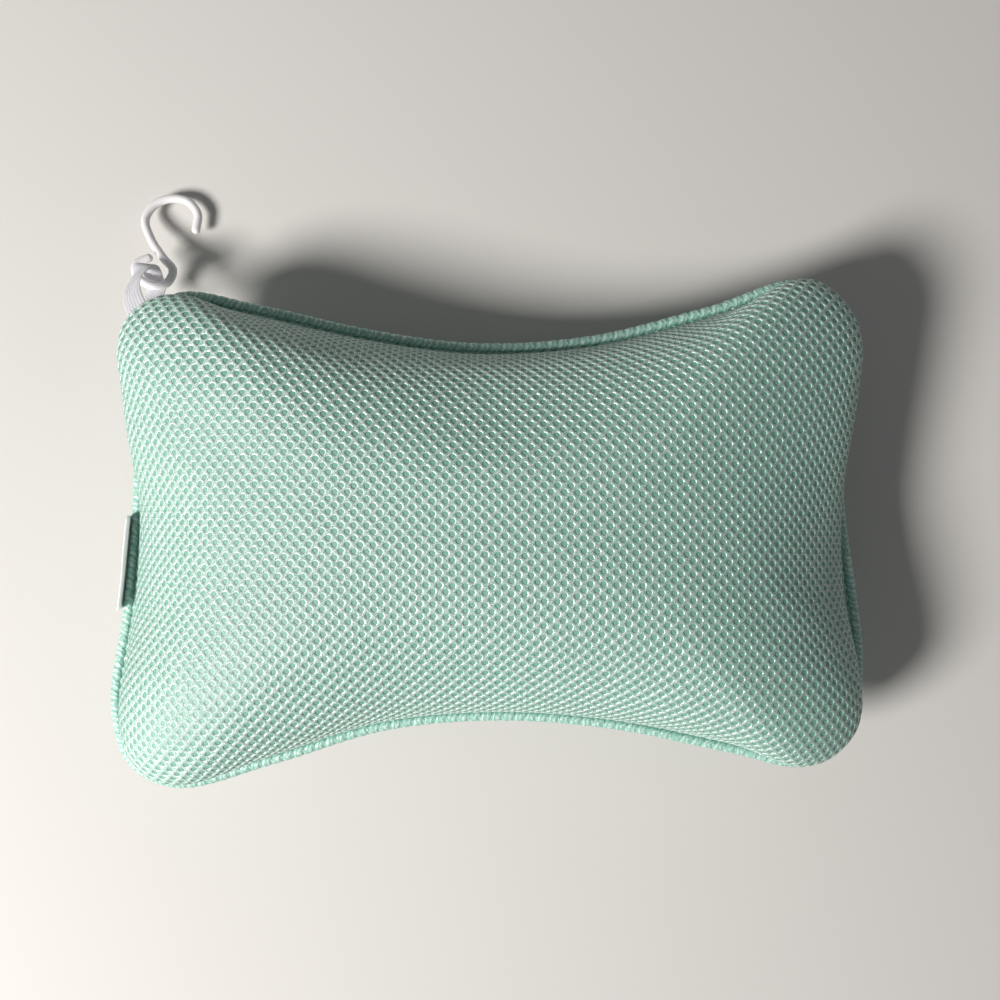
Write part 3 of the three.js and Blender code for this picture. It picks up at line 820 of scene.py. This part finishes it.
def overlockTree():
    # Geometry Nodes: a tube along the seam, pulled in at each stitch, with the stitch's thread
    tree, given, add = newTree("overlockedEdge", {
        "Seam": "Geometry", "Thread": "Object", "Half Width": "Float", "Half Height": "Float",
        "Pinch": "Float", "Slant": "Float", "Sides": "Int",
        "Yarn Finish": "Material", "Thread Finish": "Material"})

    def named(name, kind="FLOAT_VECTOR"):
        return add("GeometryNodeInputNamedAttribute", {"Name": name}, data_type=kind)

    here = add("GeometryNodeInputPosition")
    spine = add("GeometryNodeStoreNamedAttribute",
                {"Geometry": given["Seam"], "Name": "spine", "Value": here},
                data_type="FLOAT_VECTOR", domain="POINT")
    line = add("GeometryNodeMeshToCurve", {"Mesh": spine})
    ring = add("GeometryNodeCurvePrimitiveCircle", {"Resolution": given["Sides"], "Radius": 1})
    tube = add("GeometryNodeCurveToMesh", {"Curve": line, "Profile Curve": ring})
    off = add("ShaderNodeVectorMath", [here, named("spine")], operation="SUBTRACT")
    rise = add("ShaderNodeSeparateXYZ", [off]).outputs[2]
    out = add("ShaderNodeVectorMath", [off, named("outward")], operation="DOT_PRODUCT").outputs["Value"]

    # the stitches follow one another along the seam, each one round and pulled in at its ends
    place = add("ShaderNodeMath", [out, given["Slant"], named("phase", "FLOAT")], operation="MULTIPLY_ADD")
    turn = add("ShaderNodeMath", [place, math.pi], operation="MULTIPLY")
    wave = add("ShaderNodeMath", [turn], operation="SINE")
    wave = add("ShaderNodeMath", [wave], operation="ABSOLUTE")
    lobe = add("ShaderNodeMath", [wave, 0.55], operation="POWER")
    dip = add("ShaderNodeMath", [1, lobe], operation="SUBTRACT")
    dip = add("ShaderNodeMath", [given["Pinch"], dip], operation="MULTIPLY")
    size = add("ShaderNodeMath", [1, dip], operation="SUBTRACT")
    stitch = add("ShaderNodeCombineXYZ", [place, out, lobe])
    noted = add("GeometryNodeStoreNamedAttribute", {"Geometry": tube, "Name": "stitch", "Value": stitch},
                data_type="FLOAT_VECTOR", domain="POINT")
    wide = add("ShaderNodeMath", [out, given["Half Width"]], operation="MULTIPLY")
    wide = add("ShaderNodeMath", [wide, size], operation="MULTIPLY")
    outPart = add("ShaderNodeVectorMath", {0: named("outward"), "Scale": wide}, operation="SCALE")
    tall = add("ShaderNodeMath", [rise, given["Half Height"]], operation="MULTIPLY")
    tall = add("ShaderNodeMath", [tall, size], operation="MULTIPLY")
    upPart = add("ShaderNodeCombineXYZ", {2: tall})
    moved = add("ShaderNodeVectorMath", [outPart, upPart], operation="ADD")
    moved = add("ShaderNodeVectorMath", [named("spine"), moved], operation="ADD")
    shaped = add("GeometryNodeSetPosition", {"Geometry": noted, "Position": moved})
    soft = add("GeometryNodeSetShadeSmooth", {"Geometry": shaped})
    yarn = add("GeometryNodeSetMaterial", {"Geometry": soft, "Material": given["Yarn Finish"]})

    # a thread over each dip between two stitches
    thread = add("GeometryNodeObjectInfo", {"Object": given["Thread"]}).outputs["Geometry"]
    phase = add("ShaderNodeMath", [named("phase", "FLOAT"), 0.01], operation="ADD")
    phase = add("ShaderNodeMath", [phase], operation="FRACT")
    whole = add("ShaderNodeMath", [phase, 0.02], operation="LESS_THAN")
    aim = add("FunctionNodeAlignRotationToVector", {"Vector": named("outward")}, axis="X", pivot_axis="Z")
    stitches = add("GeometryNodeInstanceOnPoints", {
        "Points": spine, "Selection": whole, "Instance": thread, "Rotation": aim})
    threads = add("GeometryNodeSetMaterial", {"Geometry": stitches, "Material": given["Thread Finish"]})
    both = add("GeometryNodeJoinGeometry", [yarn])
    feed(both, [threads])
    real = add("GeometryNodeRealizeInstances", {"Geometry": both})
    add("NodeGroupOutput", {"Geometry": real})
    return tree


def swept(name, line, closed, section, across=None, finish=None):
    # a section swept along the line; section(share) gives [side, up] offsets in mm
    along = tangents(line, closed)
    side = np.zeros_like(line)
    held = np.cross(along[0], (0.0, 0.0, 1.0)) if across is None else across[0]
    for i in range(len(line)):
        held = held if across is None else across[i]
        held = held - along[i] * np.dot(held, along[i])
        held = held / np.linalg.norm(held)
        side[i] = held
    up = np.cross(side, along)
    loops = []
    for i in range(len(line)):
        offsets = np.array(section(i / (len(line) - (0 if closed else 1))))
        loops.append(line[i] + side[i] * offsets[:, :1] + up[i] * offsets[:, 1:])
    size = len(loops[0])
    verts = np.concatenate(loops)
    faces = ringFaces(len(line), size, closed)
    if not closed:
        faces += [tuple(range(size)), tuple(reversed(range(len(verts) - size, len(verts))))]
    made = meshObject(name, verts * mm, faces, finish)
    outwards(made)
    return made, size


def outwards(obj):
    bm = bmesh.new()
    bm.from_mesh(obj.data)
    bmesh.ops.recalc_face_normals(bm, faces=bm.faces)
    bm.to_mesh(obj.data)
    bm.free()


def turnedPiece(name, profile, centre, sides, finish):
    # turned about an upright axis from (radius, height) points in mm, its ends on the axis or joined
    x, y = centre
    points = profile if profile[0] != profile[-1] else profile[:-1]
    bm = bmesh.new()
    columns = []
    for radius, height in points:
        if radius == 0:
            columns.append([bm.verts.new((x * mm, y * mm, height * mm))] * sides)
        else:
            column = []
            for k in range(sides):
                turn = k * 2 * math.pi / sides
                column.append(bm.verts.new(((x + radius * math.cos(turn)) * mm,
                                            (y + radius * math.sin(turn)) * mm, height * mm)))
            columns.append(column)
    last = len(columns) if profile[0] == profile[-1] else len(columns) - 1
    for r in range(last):
        one, two = columns[r], columns[(r + 1) % len(columns)]
        for k in range(sides):
            j = (k + 1) % sides
            corners = []
            for v in (one[k], one[j], two[j], two[k]):
                if v not in corners:
                    corners.append(v)
            if len(corners) > 2:
                bm.faces.new(corners)
    bmesh.ops.recalc_face_normals(bm, faces=bm.faces)
    mesh = bpy.data.meshes.new(name)
    bm.to_mesh(mesh)
    bm.free()
    mesh.materials.append(finish)
    mesh.shade_smooth()
    made = bpy.data.objects.new(name, mesh)
    scene.collection.objects.link(made)
    return made


def yarnMaterial():
    # textured polyester overlock yarn: soft, each stitch a fan of pale filaments over mint, darker towards
    # the dips between stitches, with painted shade on the side towards the pillow
    o = overlock
    made, shader, add = newMaterial("overlockYarn")
    stitch = add("ShaderNodeAttribute", attribute_name="stitch").outputs["Vector"]
    part = add("ShaderNodeSeparateXYZ", [stitch]).outputs
    where = add("ShaderNodeTexCoord").outputs["Object"]
    fine = add("ShaderNodeTexNoise", {"Vector": where, "Scale": perMetre(o["fluff"]), "Detail": 3})
    patch = add("ShaderNodeTexNoise", {"Vector": where, "Scale": perMetre(o["patch"]), "Detail": 2})
    square = add("ShaderNodeMath", [part[1], part[1]], operation="MULTIPLY")
    bow = add("ShaderNodeMath", [square, o["fanBow"]], operation="MULTIPLY")
    straight = add("ShaderNodeMath", [part[0], bow], operation="SUBTRACT")
    astray = add("ShaderNodeMath", [patch, 0.9], operation="MULTIPLY")
    astray = add("ShaderNodeMath", [fine, 0.1, astray], operation="MULTIPLY_ADD")
    along = add("ShaderNodeMath", [straight, astray], operation="ADD")
    turns = add("ShaderNodeMath", [along, 2 * math.pi * o["fanThreads"]], operation="MULTIPLY")
    fan = add("ShaderNodeMath", [turns], operation="SINE")
    lobe = add("ShaderNodeMapRange", [part[2], 0.15, 0.7], **eased)
    # darker towards the dips between stitches
    base = add("ShaderNodeMix", {0: lobe, 6: linear("#6FAE99"), 7: linear("#8FC3B2")}, **colours)
    # painted shade: the side towards the pillow is darkened and shows fewer pale filaments
    inner = add("ShaderNodeMapRange", [part[1], 0, -0.8], **eased)
    paintedInnerShade = add("ShaderNodeMath", [inner, 0.6], operation="MULTIPLY")
    base = add("ShaderNodeMix", {0: paintedInnerShade, 6: base.outputs[2], 7: linear("#4FA087")}, **colours)
    shown = add("ShaderNodeMapRange", [fan, -0.3, 1], **eased)
    for limit in (add("ShaderNodeMapRange", [part[2], 0.25, 0.7], **eased),
                  add("ShaderNodeMapRange", [inner, 0.3, 1, 0.9, 0.25], **eased),
                  add("ShaderNodeMapRange", [fine, 0.38, 0.58, 0.25, 1], **eased)):
        shown = add("ShaderNodeMath", [shown, limit], operation="MULTIPLY")
    colour = add("ShaderNodeMix", {0: shown, 6: base.outputs[2], 7: linear("#D3EBE3")}, **colours)
    height = add("ShaderNodeMath", [fan, 0.2, fine], operation="MULTIPLY_ADD")
    feed(shader, {
        "Base Color": colour.outputs[2], "Roughness": 0.6, "IOR": 2.4,
        "Specular IOR Level": add("ShaderNodeMapRange", [shown, 0, 0.8, 0.3, 1], **eased),
        "Normal": add("ShaderNodeBump", {"Height": height, "Distance": 0.0003})})
    return made


def threadMaterial():
    # spun polyester sewing thread, slightly glossy
    made, shader, add = newMaterial("sewingThread")
    where = add("ShaderNodeTexCoord").outputs["Object"]
    twist = add("ShaderNodeTexWave", {
        "Vector": where, "Scale": perMetre(overlock["threadPly"]), "Distortion": 2}).outputs[1]
    colour = add("ShaderNodeMix", {0: twist, 6: linear("#8FC3B3"), 7: linear("#BFE0D6")}, **colours)
    feed(shader, {
        "Base Color": colour.outputs[2], "Roughness": 0.5,
        "Normal": add("ShaderNodeBump", {"Height": twist, "Distance": 0.0001})})
    return made


def edgePiece():
    o = overlock
    line, _, _ = seamLine(800, o["inset"])
    length = np.linalg.norm(np.diff(np.vstack([line, line[:1]]), axis=0), axis=1).sum()
    count = round(length / o["pitch"])
    line, out, _ = seamLine(count * o["steps"], o["inset"])
    points = np.column_stack([line + (shiftX, shiftY), np.full(len(line), cushion["seamHeight"])])
    n = len(points)
    mesh = bpy.data.meshes.new("edgeOverlock")
    mesh.from_pydata([tuple(v) for v in points * mm], [(i, (i + 1) % n) for i in range(n)], [])
    mesh.attributes.new("phase", "FLOAT", "POINT").data.foreach_set("value", np.arange(n) / o["steps"])
    mesh.attributes.new("outward", "FLOAT_VECTOR", "POINT").data.foreach_set(
        "vector", np.column_stack([out, np.zeros(n)]).ravel())
    edge = bpy.data.objects.new("edgeOverlock", mesh)
    scene.collection.objects.link(edge)
    pulled = 1 - o["pinch"]
    turn = np.linspace(*np.radians(o["threadTurn"]), o["threadSteps"])
    loop = np.column_stack([np.cos(turn) * (o["halfWidth"] * pulled + o["threadLift"]),
                            np.cos(turn) * o["threadReach"] / 2,
                            np.sin(turn) * (o["halfHeight"] * pulled + o["threadLift"])])
    thin = [(o["threadRadius"] * math.cos(k * math.pi / 3), o["threadRadius"] * math.sin(k * math.pi / 3))
            for k in range(6)]
    thread, _ = swept("overlockThread", loop, False, lambda share: thin)
    sewing = edge.modifiers.new("overlock", "NODES")
    sewing.node_group = overlockTree()
    setInputs(sewing, {
        "Thread": thread, "Half Width": o["halfWidth"] * mm, "Half Height": o["halfHeight"] * mm,
        "Pinch": o["pinch"], "Slant": o["slant"], "Sides": o["sides"],
        "Yarn Finish": yarnMaterial(), "Thread Finish": threadMaterial()})
    settled(edge)
    bpy.data.objects.remove(thread)
    outwards(edge)
    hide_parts("edge_overlock")
    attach(edge, "pillow")
    print("overlocked edge ready:", count, "stitches,", len(edge.data.polygons), "faces")


edgePiece()


# webbing loop, S hook and label at the left side
cornerRoot = (-157.6, 97.9)                # where the loop is sewn in
strap = {
    "thickness": 1.1, "stations": 120, "ribs": 7, "ribDepth": 0.16,
    "woven": 11,                           # width of the weave's map across the webbing, mm
    "warp": 0.45, "weft": 0.6, "stain": 6.25,          # spacing of its threads, and its unevenness, mm
    "points": [                            # from the corner at seam height, mm
        (0, 0, 0), (-2.9, 5.6, -1.5), (-5.8, 12.1, -5), (-6.1, 19.1, -9.5), (-4, 24.8, -13.2),
        (-3.4, 27.9, -16.3), (-3, 27.9, -20.5), (-2.9, 24.6, -26), (-2.8, 19.4, -29.4),
        (-4, 13.1, -26.5), (-2.9, 7.1, -16), (-0.6, 1.1, -2.8)],
    "widths": [10.8, 10.8, 10.6, 10.5, 10.2, 9.6, 9, 8.6, 9, 9.8, 10.8, 10.8],   # gathered in the eye
    "spread": 3,                           # stations over which widths and turns are evened out
    "across": [
        (0.75, 0.35, 0), (0.85, 0.45, 0.15), (0.88, 0.1, 0.45), (0.66, -0.1, 0.72), (0.62, -0.25, 0.68),
        (0.95, -0.1, 0), (0.95, 0, 0), (0.95, 0.1, 0), (0.95, 0.15, 0), (0.93, 0.15, 0.1),
        (0.85, 0.4, 0.1), (0.75, 0.35, 0)],
}
hook = {
    "radius": 2.05, "sides": 28, "stations": 150, "capRings": 6,
    "points": [                            # from the open tip to the end of the eye, mm
        (14.1, 49.9, -36.8), (14.7, 57.9, -37.6), (9.6, 64.1, -38), (1.6, 65.5, -38), (-6.3, 62.4, -37.4),
        (-10.4, 54.9, -36), (-6.7, 44.6, -32.6), (0.8, 34.2, -27.6), (7, 26.7, -23.8), (4.6, 20.5, -22.2),
        (-2.6, 19.3, -21.8), (-9.6, 24, -22.2), (-10.6, 30, -24.4), (-5.4, 33.4, -26)],
}


def cornerLine(points):
    return np.array(points, float) + (cornerRoot[0] + shiftX, cornerRoot[1] + shiftY, cushion["seamHeight"])


def webbingMaterial():
    # woven polyester webbing: white, low sheen, fine cross ridges over lengthwise ribs,
    # with painted shade in the grooves between the ribs
    made, shader, add = newMaterial("wovenWebbing")
    part = add("ShaderNodeSeparateXYZ", [add("ShaderNodeUVMap", uv_map="weave")]).outputs
    waves = []
    for place, spacing, wave in ((part[0], strap["warp"], "SINE"), (part[1], strap["weft"], "SINE"),
                                 (part[0], strap["woven"] / strap["ribs"], "COSINE")):
        turn = add("ShaderNodeMath", [place, 2 * math.pi / spacing], operation="MULTIPLY")
        waves.append(add("ShaderNodeMath", [turn], operation=wave))
    cross = add("ShaderNodeMath", waves[:2], operation="MULTIPLY")
    where = add("ShaderNodeTexCoord").outputs["Object"]
    stain = add("ShaderNodeTexNoise", {"Vector": where, "Scale": perMetre(strap["stain"]), "Detail": 3})
    share = add("ShaderNodeMapRange", [cross, -0.9, 0.3], **eased)
    colour = add("ShaderNodeMix", {0: share, 6: linear("#E6E4EC"), 7: linear("#FDFDFE")}, **colours)
    # painted shade: the grooves between the ribs are darkened to a lilac grey
    share = add("ShaderNodeMapRange", [waves[2], 0.45, 1, 0, 0.75], **eased)
    colour = add("ShaderNodeMix", {0: share, 6: colour.outputs[2], 7: linear("#CBC6DA")}, **colours)
    share = add("ShaderNodeMapRange", [stain, 0.4, 0.75, 0, 0.2], **eased)
    colour = add("ShaderNodeMix", {0: share, 6: colour.outputs[2], 7: linear("#D3D0DF")}, **colours)
    feed(shader, {
        "Base Color": colour.outputs[2], "Roughness": 0.62, "Sheen Weight": 0.2,
        "Subsurface Weight": 0.35, "Subsurface Radius": (0.002, 0.002, 0.002), "Subsurface Scale": 1,
        "Normal": add("ShaderNodeBump", {"Height": cross, "Distance": 0.00012})})
    return made


def strapPiece():
    p = strap
    n = p["stations"]
    dense = smoothLine(cornerLine(p["points"]), True)
    line = evenly(dense, n, True)
    steps = len(dense) / len(p["points"])
    stops = np.array([np.argmin(np.linalg.norm(dense - v, axis=1)) / steps for v in line])
    low = np.floor(stops).astype(int) % len(p["points"])
    high = (low + 1) % len(p["points"])
    part = (stops - np.floor(stops))[:, None]
    blended = []
    for values in (p["across"], np.array(p["widths"])[:, None]):
        values = np.array(values)
        values = values[low] * (1 - part) + values[high] * part
        spread = range(-p["spread"], p["spread"] + 1)
        blended.append(sum(np.roll(values, k, 0) for k in spread) / len(spread))
    across, width = blended
    columns = p["ribs"] * 4

    def section(share):
        w = width[int(round(share * n)) % n, 0]
        over, under = [], []
        for k in range(columns + 1):
            x = k / columns
            rib = p["ribDepth"] * (0.5 - 0.5 * math.cos(x * p["ribs"] * 2 * math.pi)) - p["ribDepth"]
            edge = min(1.0, 4 * min(x, 1 - x) + 0.35)
            half = p["thickness"] / 2 * edge + rib
            over.append(((x - 0.5) * w, half))
            under.append(((x - 0.5) * w, -half))
        return over + under[::-1]

    made, size = swept("hangingStrap", line, True, section, across, webbingMaterial())
    run = np.linalg.norm(np.diff(np.vstack([line, line[:1]]), axis=0), axis=1)
    length = run.sum()
    laid = made.data.uv_layers.new(name="weave")
    corners = cornerPoints(made.data)
    column = corners % size
    column = np.where(column > columns, size - 1 - column, column) / columns * p["woven"]
    station = (corners // size).reshape(-1, 4)
    wrap = (station.max(1) == n - 1) & (station.min(1) == 0)
    station[wrap] = np.where(station[wrap] == 0, n, station[wrap])
    laid.data.foreach_set("uv", np.column_stack([column, station.ravel() / n * length]).ravel())
    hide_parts("hanging_strap")
    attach(made, "strap")
    print("strap ready:", round(length, 1), "mm")


def plasticMaterial(name, colour, shade, roughness):
    # injection-moulded polypropylene: even and softly glossy, with a faint flow in its skin
    made, shader, add = newMaterial(name)
    where = add("ShaderNodeTexCoord").outputs["Object"]
    flow = add("ShaderNodeTexNoise", {"Vector": where, "Scale": perMetre(16.7), "Detail": 2})
    grain = add("ShaderNodeTexNoise", {"Vector": where, "Scale": perMetre(0.667), "Detail": 1})
    skin = add("ShaderNodeMix", {0: flow, 6: linear(colour), 7: linear(shade)}, **colours)
    rough = add("ShaderNodeMapRange", [flow, 0.3, 0.7, roughness - 0.04, roughness + 0.06], **eased)
    feed(shader, {
        "Base Color": skin.outputs[2], "Roughness": rough, "IOR": 1.49,
        "Subsurface Weight": 0.5, "Subsurface Radius": (0.003, 0.003, 0.003), "Subsurface Scale": 1,
        "Normal": add("ShaderNodeBump", {"Height": grain, "Distance": 0.00002})})
    return made


def hookPiece():
    h = hook
    line = evenly(smoothLine(cornerLine(h["points"]), False), h["stations"], False)
    along = tangents(line, False)
    cap = [math.sin((k + 0.35) / h["capRings"] * math.pi / 2) for k in range(h["capRings"])]
    start = [line[0] - along[0] * h["radius"] * math.cos(math.asin(c)) for c in cap]
    end = [line[-1] + along[-1] * h["radius"] * math.cos(math.asin(c)) for c in reversed(cap)]
    line = np.vstack([start, line, end])
    sizes = cap + [1.0] * h["stations"] + cap[::-1]

    def section(share):
        r = h["radius"] * sizes[int(round(share * (len(line) - 1)))]
        return [(r * math.cos(k * 2 * math.pi / h["sides"]), r * math.sin(k * 2 * math.pi / h["sides"]))
                for k in range(h["sides"])]

    finish = plasticMaterial("mouldedHook", "#F3F0F1", "#E9E5E8", 0.3)
    made, _ = swept("sHook", line, False, section, None, finish)
    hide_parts("s_hook")
    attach(made, "hook")
    print("hook ready")


strapPiece()
hookPiece()


# folded satin label
labelFold = {
    "ends": (8, -34), "tall": 11.6,
    "leftOf": -140,                         # its seam is the stretch of the outline left of this, mm
    "rise": [(-1.2, -0.2), (0.1, 0.5), (0.35, 3.2), (0.25, 7.2), (0, 11.6)],   # outwards and up, mm
    "lean": 2.0, "curl": -1.4,              # inwards at its back end, outwards at its front end
    "wave": 0.3, "waveTurn": 5.1, "waveStart": 0.4,    # a slight ripple: mm, and radians
    "seat": 0.45, "layer": 0.28, "gap": 0.3,
    "open": 4.2,                            # its layers are pressed together above this height
    "stations": 26, "riseSteps": 14,
    "foldSteps": 6, "foldStart": 0.3,       # of the round fold at its top, radians
    "warp": 0.35, "floats": 1.43,           # spacing of its threads, and its unevenness, mm
}


def satinMaterial():
    # woven satin tape: smooth warp floats, a soft gloss along the tape
    f = labelFold
    made, shader, add = newMaterial("satinTape")
    part = add("ShaderNodeSeparateXYZ", [add("ShaderNodeUVMap", uv_map="weave")]).outputs
    turn = add("ShaderNodeMath", [part[0], 2 * math.pi / f["warp"]], operation="MULTIPLY")
    warp = add("ShaderNodeMath", [turn], operation="SINE")
    where = add("ShaderNodeTexCoord").outputs["Object"]
    fine = add("ShaderNodeTexNoise", {"Vector": where, "Scale": perMetre(f["floats"]), "Detail": 2})
    height = add("ShaderNodeMath", [warp, 0.5, fine], operation="MULTIPLY_ADD")
    share = add("ShaderNodeMapRange", [height, -0.1, 1], **eased)
    colour = add("ShaderNodeMix", {0: share, 6: linear("#EEEDF3"), 7: linear("#FAFAFC")}, **colours)
    feed(shader, {
        "Base Color": colour.outputs[2], "Roughness": 0.45, "Sheen Weight": 0.15,
        "Subsurface Weight": 0.9, "Subsurface Radius": (0.005, 0.005, 0.005), "Subsurface Scale": 1,
        "Normal": add("ShaderNodeBump", {"Height": height, "Distance": 0.00005})})
    return made


def labelPiece():
    f = labelFold
    edge, _, _ = seamLine(1200, 0)
    left = edge[edge[:, 0] < f["leftOf"]]
    rise = evenly(smoothLine([(a, b, 0) for a, b in f["rise"]], False), f["riseSteps"], False)
    n = f["stations"]
    verts = []
    half = f["gap"] / 2 + f["layer"]
    outer = [(a - half, b) for a, b, _ in rise]
    inner = [(a + half, b) for a, b, _ in rise]
    tip = rise[-1]
    fold = [(tip[0] - half * math.cos(t), tip[1] + half * math.sin(t))
            for t in np.linspace(f["foldStart"], math.pi - f["foldStart"], f["foldSteps"])]
    slit = [(a, b) for a, b, _ in rise if b < f["open"]]
    inside = [(a + f["gap"] / 2, b) for a, b in slit]
    insideOut = [(a - f["gap"] / 2, b) for a, b in slit]
    section = outer + fold + inner[::-1] + inside + insideOut[::-1]
    length = f["ends"][0] - f["ends"][1]
    for i in range(n):
        share = i / (n - 1)
        y = f["ends"][0] - length * share
        root = left[np.argmin(np.abs(left[:, 1] - y)), 0] - f["seat"]
        wave = f["wave"] * math.sin(share * f["waveTurn"] + f["waveStart"])
        for a, b in section:
            tall = max(b, 0) / f["tall"]
            aside = (f["lean"] * (1 - share) - wave) * tall - f["curl"] * share * tall ** 3
            verts.append((root - a + aside + shiftX, y + shiftY, cushion["seamHeight"] + b))
    size = len(section)
    faces = ringFaces(n, size)
    faces += [tuple(range(size)), tuple(reversed(range(len(verts) - size, len(verts))))]
    made = meshObject("sideLabel", np.array(verts) * mm, faces, satinMaterial())
    outwards(made)
    laid = made.data.uv_layers.new(name="weave")
    corners = cornerPoints(made.data)
    height = np.array([b for a, b in section])
    along = corners // size * length / (n - 1)
    laid.data.foreach_set("uv", np.column_stack([along, height[corners % size]]).ravel())
    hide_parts("side_label")
    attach(made, "label")
    print("label ready")


labelPiece()


# suction cups with their eyelets, turned from (radius, height) points in mm
cup = {
    "sides": 64,
    "profile": [
        (0, 4.4), (4.5, 4.2), (9, 3.6), (13, 2.5), (16.5, 1.2), (19.3, 0.12), (19.8, 0), (20.7, 0),
        (21, 0.3), (21, 0.8), (20.7, 1.15), (19.4, 2.1), (17, 3.7), (14, 5.6), (11.4, 7.3), (9.2, 8.6),
        (7.4, 9.3), (6.6, 9.55), (3.7, 9.6), (3.3, 9.8), (3.2, 10.3), (3.2, 14.7), (3.4, 15.1), (3.8, 15.2),
        (5.7, 15.2), (6.1, 15.35), (6.2, 15.8), (6.2, 17.1), (5.9, 17.8), (5.2, 18.4), (4.2, 18.75),
        (3, 18.8), (0, 18.8)],
}
eyelet = {
    "sides": 56,
    "profile": [
        (3.6, 10.35), (3.8, 10.05), (4.3, 10), (6.9, 10), (7.35, 10.15), (7.5, 10.5), (7.3, 10.85),
        (6.9, 10.9), (5.0, 10.9), (4.8, 11.1), (4.8, 13.7), (5.0, 13.9), (6.9, 13.9), (7.35, 14),
        (7.5, 14.35), (7.35, 14.7), (6.9, 14.8), (4.3, 14.8), (3.8, 14.75), (3.6, 14.45), (3.6, 10.35)],
}


def vinylMaterial():
    # clear soft PVC, poured smooth: see-through with a faint cool tint and a wet gloss
    made, shader, add = newMaterial("clearSoftVinyl")
    where = add("ShaderNodeTexCoord").outputs["Object"]
    flow = add("ShaderNodeTexNoise", {"Vector": where, "Scale": perMetre(22.2), "Detail": 2})
    colour = add("ShaderNodeMix", {0: flow, 6: linear("#E6F2F0"), 7: linear("#F4FBFA")}, **colours)
    feed(shader, {
        "Base Color": colour.outputs[2], "IOR": 1.53, "Transmission Weight": 0.82,
        "Roughness": add("ShaderNodeMapRange", [flow, 0.3, 0.7, 0.06, 0.14], **eased)})
    return made


vinyl = vinylMaterial()
eyeletPlastic = plasticMaterial("mouldedEyelet", "#EFF1F0", "#E3E8E6", 0.32)
for i, centre in enumerate(cupPlaces, 1):
    piece = turnedPiece(f"suctionCup.{i}", cup["profile"], centre, cup["sides"], vinyl)
    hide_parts(f"suction_cup_{i}")
    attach(piece, f"cup_{i}")
    ring = turnedPiece(f"cupEyelet.{i}", eyelet["profile"], centre, eyelet["sides"], eyeletPlastic)
    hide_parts(f"cup_eyelet_{i}")
    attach(ring, "pillow")
print("cups and eyelets ready")


# fibre filling inside the cover
filling = {
    "skin": 4.4,                           # from the cover to the fibre, mm
    "tuft": 0.5, "tuftReach": (5.3, 4.7),  # height of its soft lumps and how wide they are
    "headRoom": 21, "headReach": 17, "headRadius": 8.5,
    "hair": 2.38,                          # size of its clouded fibres, mm
}


def waddingMaterial():
    # carded hollow polyester fibre: white, matt and cloudy
    made, shader, add = newMaterial("polyesterWadding")
    where = add("ShaderNodeTexCoord").outputs["Object"]
    hair = add("ShaderNodeTexNoise", {
        "Vector": where, "Scale": perMetre(filling["hair"]), "Detail": 5, "Distortion": 1.5})
    share = add("ShaderNodeMapRange", [hair, 0.35, 0.65], **eased)
    colour = add("ShaderNodeMix", {0: share, 6: linear("#DEDFDC"), 7: linear("#F8F8F5")}, **colours)
    feed(shader, {
        "Base Color": colour.outputs[2], "Roughness": 0.95, "Sheen Weight": 0.3,
        "Normal": add("ShaderNodeBump", {"Height": hair, "Distance": 0.0008})})
    return made


def fillPiece():
    f = filling
    count, size = rings.shape[:2]
    verts = rings.reshape(-1, 3) + (shiftX, shiftY, 0)
    faces = ringFaces(count, size) + closeRing(0, size, True) + closeRing((count - 1) * size, size, False)
    made = meshObject("fibreFill", verts * mm, faces, waddingMaterial())
    normals = triples(made.data.vertex_normals, "vector")
    tuft = np.sin(verts[:, 0] / f["tuftReach"][0]) * np.sin(verts[:, 1] / f["tuftReach"][1] + 1) * f["tuft"]
    verts = verts - normals * (f["skin"] + tuft)[:, None]
    for centre in cupPlaces:               # hollows over the cups' heads
        pull = closeness(verts, centre, f["headRadius"], f["headReach"])
        low = verts[:, 2] < f["headRoom"]
        verts[:, 2] += np.where(low, pull * (f["headRoom"] - verts[:, 2]), 0)
    made.data.vertices.foreach_set("co", (verts * mm).ravel())
    made.data.update()
    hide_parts("fibre_fill")
    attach(made, "pillow")
    print("filling ready")


fillPiece()


# camera straight over the pillow, as the photograph has it
view = {"x": 5.9 + shiftX, "y": 15 + shiftY, "height": 500, "lens": 36.1, "sensor": 36}
cameraData = bpy.data.cameras.new("camera")
cameraData.lens = view["lens"]
cameraData.sensor_width = view["sensor"]
cameraData.clip_start = 0.01
camera = bpy.data.objects.new("camera", cameraData)
camera.location = (view["x"] * mm, view["y"] * mm, view["height"] * mm)
scene.collection.objects.link(camera)
scene.camera = camera


def floorMaterial():
    # a painted table top, plain and matt
    made, shader, _ = newMaterial("paleTable")
    feed(shader, {"Base Color": linear("#D6D3CE"), "Roughness": 0.8})
    return made


tableCorners = [(-3, -3, 0), (3, -3, 0), (3, 3, 0), (-3, 3, 0)]
table = meshObject("table", tableCorners, [(0, 1, 2, 3)], floorMaterial(), False)


def lamp(name, place, size, power, colour):
    data = bpy.data.lights.new(name, "AREA")
    data.shape = "DISK"
    data.size = size
    data.energy = power
    data.color = linear(colour)[:3]
    made = bpy.data.objects.new(name, data)
    made.location = place
    made.rotation_euler = (Vector((0, 0, 0.05)) - Vector(place)).to_track_quat("-Z", "Y").to_euler()
    scene.collection.objects.link(made)


lamp("window", (-1.08, -0.62, 1.12), 0.5, 36.5, "#FFFDFB")
world = bpy.data.worlds.new("room")
world.use_nodes = True
feed(world.node_tree.nodes["Background"], {"Color": linear("#F2F4F8"), "Strength": 0.16})
scene.world = world
scene.view_settings.view_transform = "Standard"
